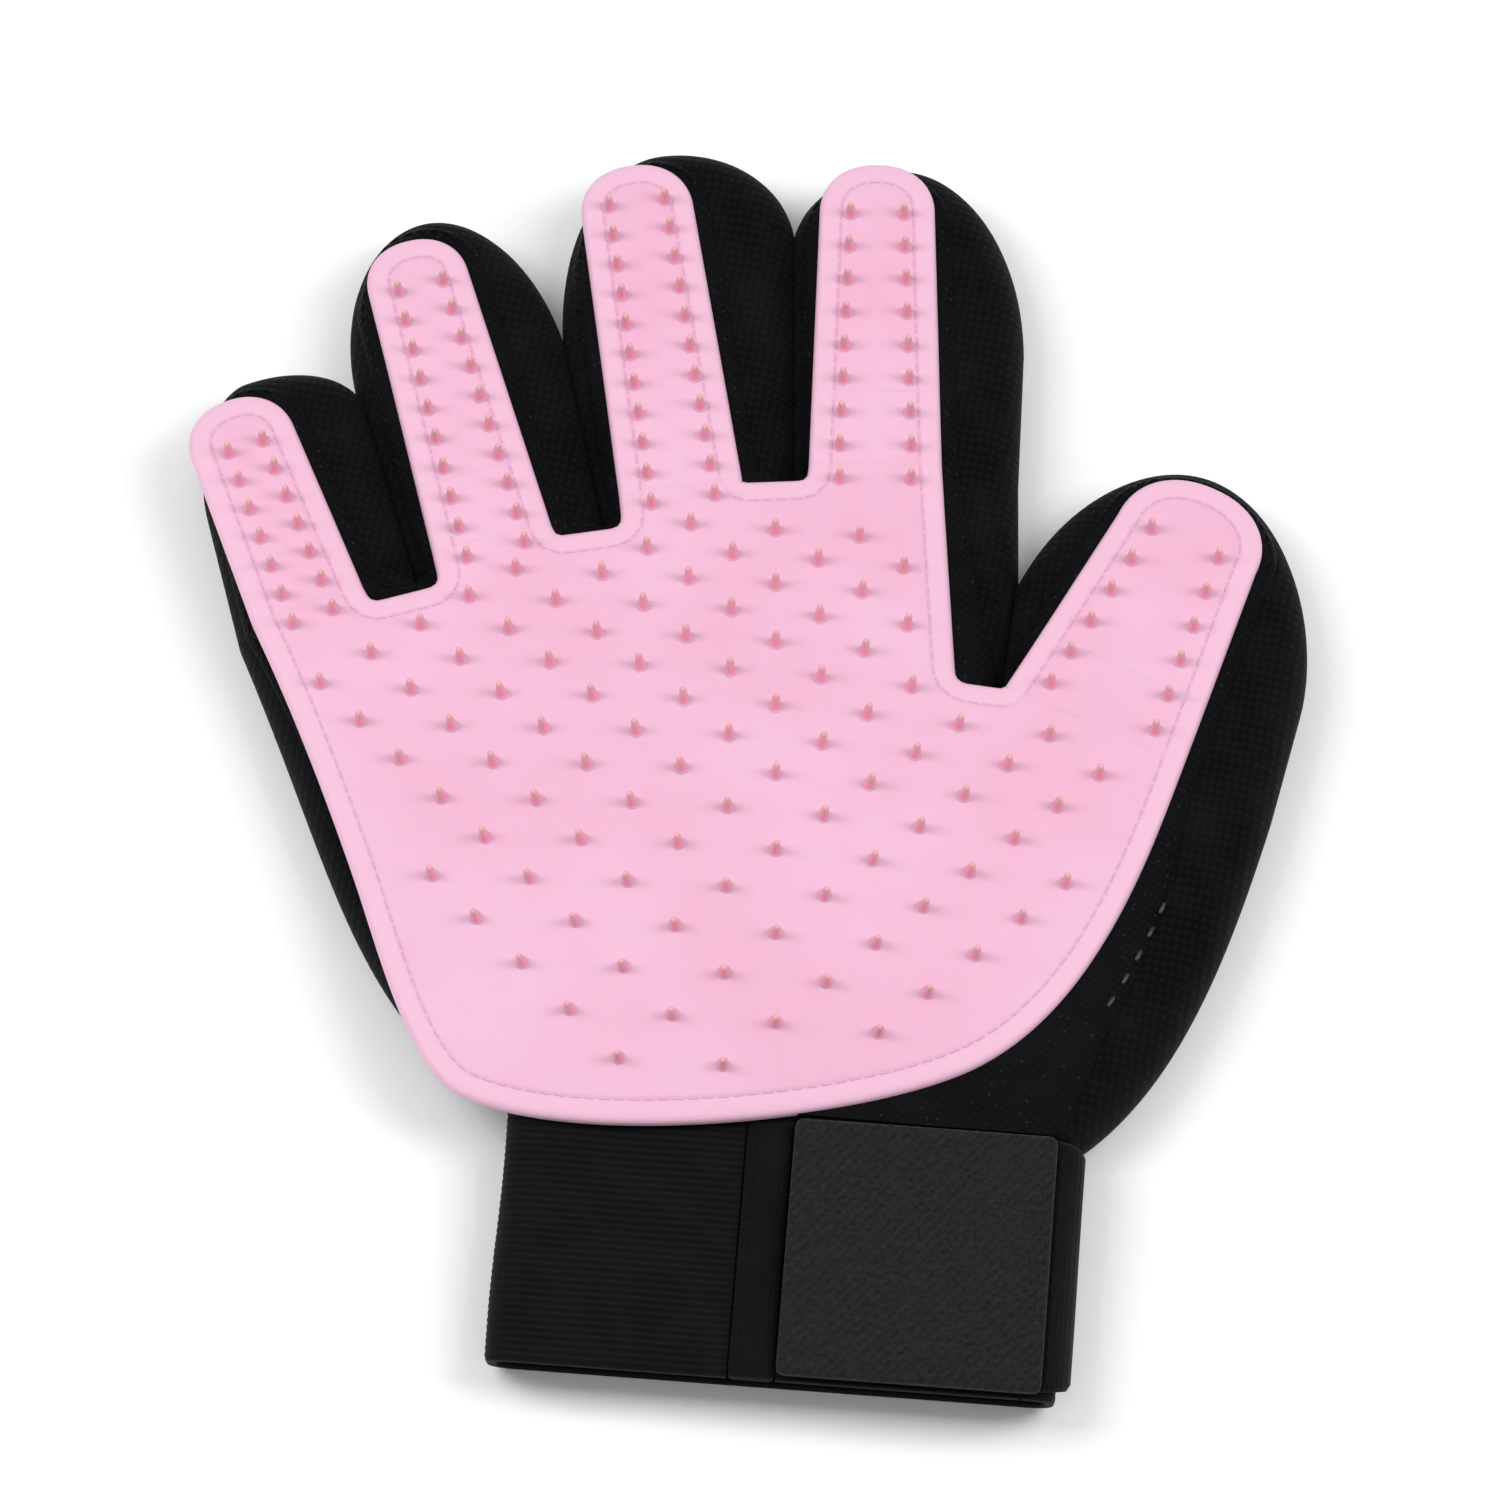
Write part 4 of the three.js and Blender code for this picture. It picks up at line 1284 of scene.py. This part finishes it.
def elastic():
    """Ribbed knitted elastic: rubber cores under fine black yarn, matt."""
    material, tree, where = start_material("black_ribbed_elastic")
    rib = add(tree, "ShaderNodeTexWave", {"Vector": where, "Scale": math.tau / (20 * RIB_PITCH),
                                          "Distortion": 0.15}, output=1, bands_direction="Y")
    yarn = thread_pattern(tree, where, 0.8, 0.0, "X")
    cloud = add(tree, "ShaderNodeTexNoise", {"Vector": where, "Scale": 0.12, "Detail": 4.0})
    shade = numbers(tree, "MULTIPLY_ADD", yarn, 0.12, between(tree, cloud, 0.3, 0.7, 0.0, 0.25))
    # Painted light and shade: the colour is lighter on the rib bands and darker between them, on the
    # modelled ribs' pitch.
    shade = numbers(tree, "MULTIPLY_ADD", rib, 0.6, shade)
    colour = blended(tree, shade, linear("080808"), linear("151517"))
    height = numbers(tree, "MULTIPLY_ADD", yarn, 0.2, numbers(tree, "MULTIPLY", rib, 0.6))
    bump = add(tree, "ShaderNodeBump", {"Height": height, "Strength": 0.7, "Distance": 0.12 * MM})
    finish_material(tree, Base_Color=colour, Roughness=0.75, Normal=bump,
                    Specular_IOR_Level=0.06, Sheen_Weight=0.04, Sheen_Roughness=0.5)
    return material


def pile():
    """Brushed nylon loops: a soft uneven nap, the palest of the blacks."""
    material, tree, where = start_material("black_nylon_loop_pile")
    nap = add(tree, "ShaderNodeTexNoise", {"Vector": where, "Scale": 1.1, "Detail": 6.0,
                                           "Roughness": 0.7, "Distortion": 0.8})
    tuft = add(tree, "ShaderNodeTexVoronoi", {"Vector": where, "Scale": 0.9}, feature="F1")
    twill = thread_pattern(tree, where, 1.5, 0.7, "X")
    shade = numbers(tree, "MULTIPLY_ADD", twill, 0.25, between(tree, nap, 0.36, 0.64, 0.0, 0.75))
    colour = blended(tree, shade, linear("0f0f11"), linear("26272b"))
    height = numbers(tree, "ADD", nap, numbers(tree, "MULTIPLY", tuft, 0.6))
    bump = add(tree, "ShaderNodeBump", {"Height": height, "Strength": 1.0, "Distance": 0.45 * MM})
    finish_material(tree, Base_Color=colour, Roughness=0.9, Normal=bump,
                    Specular_IOR_Level=0.05, Sheen_Weight=0.1, Sheen_Roughness=0.6)
    return material


def nylon(name, shade, rough, specular):
    """Smooth nylon: moulded hooks or twisted shiny thread."""
    material, tree, where = start_material(name)
    streak = add(tree, "ShaderNodeTexNoise", {"Vector": where, "Scale": 1.4, "Detail": 3.0})
    colour = blended(tree, streak, linear("0e0e0f"), linear(shade))
    bump = add(tree, "ShaderNodeBump", {"Height": streak, "Strength": 0.4, "Distance": 0.1 * MM})
    finish_material(tree, Base_Color=colour, Roughness=rough, Normal=bump,
                    Specular_IOR_Level=specular)
    return material


FINISHES = {
    "bristle_silicone": silicone(),
    "mesh_fabric": cloth("black_stretch_knit", "040405", "151618", 1.4, 0.1, 0.8, 0.05, 0.16),
    "palm_fabric": cloth("black_woven_polyester", "050506", "111214", 1.1, 0.6, 0.62, 0.03,
                         0.16, glint=0.15),
    "ribbed_elastic": elastic(),
    "binding_tape": cloth("black_binding_tape", "08090a", "17181a", 0.8, 0.0, 0.7, 0.06, 0.12),
    "loop_fabric": pile(),
    "hook_tape": nylon("black_moulded_nylon", "1b1b1e", 0.45, 0.2),
}
TACK_THREAD = nylon("shiny_polyester_thread", "2c2e31", 0.35, 0.5)
for key, piece in PIECES.items():
    piece.data.materials.append(FINISHES[piece["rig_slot"]])
PIECES["gusset_tacks"].data.materials[0] = TACK_THREAD
print("finishes:", ", ".join(FINISHES))

# %% [markdown]
# ## Floor, light and camera
#
# The glove lies on a white table in a soft white studio. Two wide lamps stand
# low at its left and right, so each bristle throws a faint shadow to both
# sides. The camera looks from high above the wrist, with a long lens.

# %% Stage
FLOOR_HALF = 3.0


def white_floor():
    """A plain white table top, much larger than the view."""
    mesh = bpy.data.meshes.new("floor")
    corners = [(-1, -1), (1, -1), (1, 1), (-1, 1)]
    mesh.from_pydata([(FLOOR_HALF * x, FLOOR_HALF * y, 0) for x, y in corners], [], [(0, 1, 2, 3)])
    floor = link("floor", mesh)
    material, tree, _ = start_material("white_table")
    finish_material(tree, Base_Color=linear("ffffff"), Roughness=0.6, Specular_IOR_Level=0.2,
                    Emission_Color=linear("ffffff"), Emission_Strength=0.03)
    mesh.materials.append(material)


def lamp(name, place_at, target, size, watts):
    """A wide soft lamp that faces a point."""
    light = bpy.data.lights.new(name, "AREA")
    light.shape = "RECTANGLE"
    light.size, light.size_y = size
    light.energy = watts
    made = link(name, light)
    made.location = place_at
    made.rotation_euler = (Vector(target) - Vector(place_at)).to_track_quat("-Z", "Y").to_euler()


MIDDLE = Vector((-0.0135, 0.0962, 0.008))
white_floor()
for lamp_name, x in (("left_lamp", -0.66), ("right_lamp", 0.66)):
    lamp(lamp_name, (x, 0.10, 0.98), MIDDLE, (0.4, 0.8), 5.9)
lamp("top_lamp", (0.0, 0.25, 1.5), MIDDLE, (1.2, 1.2), 1.5)
world = bpy.data.worlds.new("studio")
bpy.context.scene.world = world
world.use_nodes = True
sky = world.node_tree.nodes["Background"].inputs
sky["Color"].default_value = (1.0, 1.0, 1.0, 1.0)
sky["Strength"].default_value = 0.44
bpy.context.scene.view_settings.view_transform = "Standard"

AZIMUTH, ELEVATION = math.radians(4.5), math.radians(68)
DISTANCE = 1.6
VIEW_WIDTH = 0.2685
lens = bpy.data.cameras.new("camera")
lens.sensor_width = 36.0
lens.lens = lens.sensor_width * DISTANCE / VIEW_WIDTH
camera = link("camera", lens)
back = Vector((math.sin(AZIMUTH) * math.cos(ELEVATION), -math.cos(AZIMUTH) * math.cos(ELEVATION),
               math.sin(ELEVATION)))
camera.location = MIDDLE + back * DISTANCE
camera.rotation_euler = (-back).to_track_quat("-Z", "Y").to_euler()
bpy.context.scene.camera = camera
print("camera", DISTANCE, "m away, view", VIEW_WIDTH, "m wide")
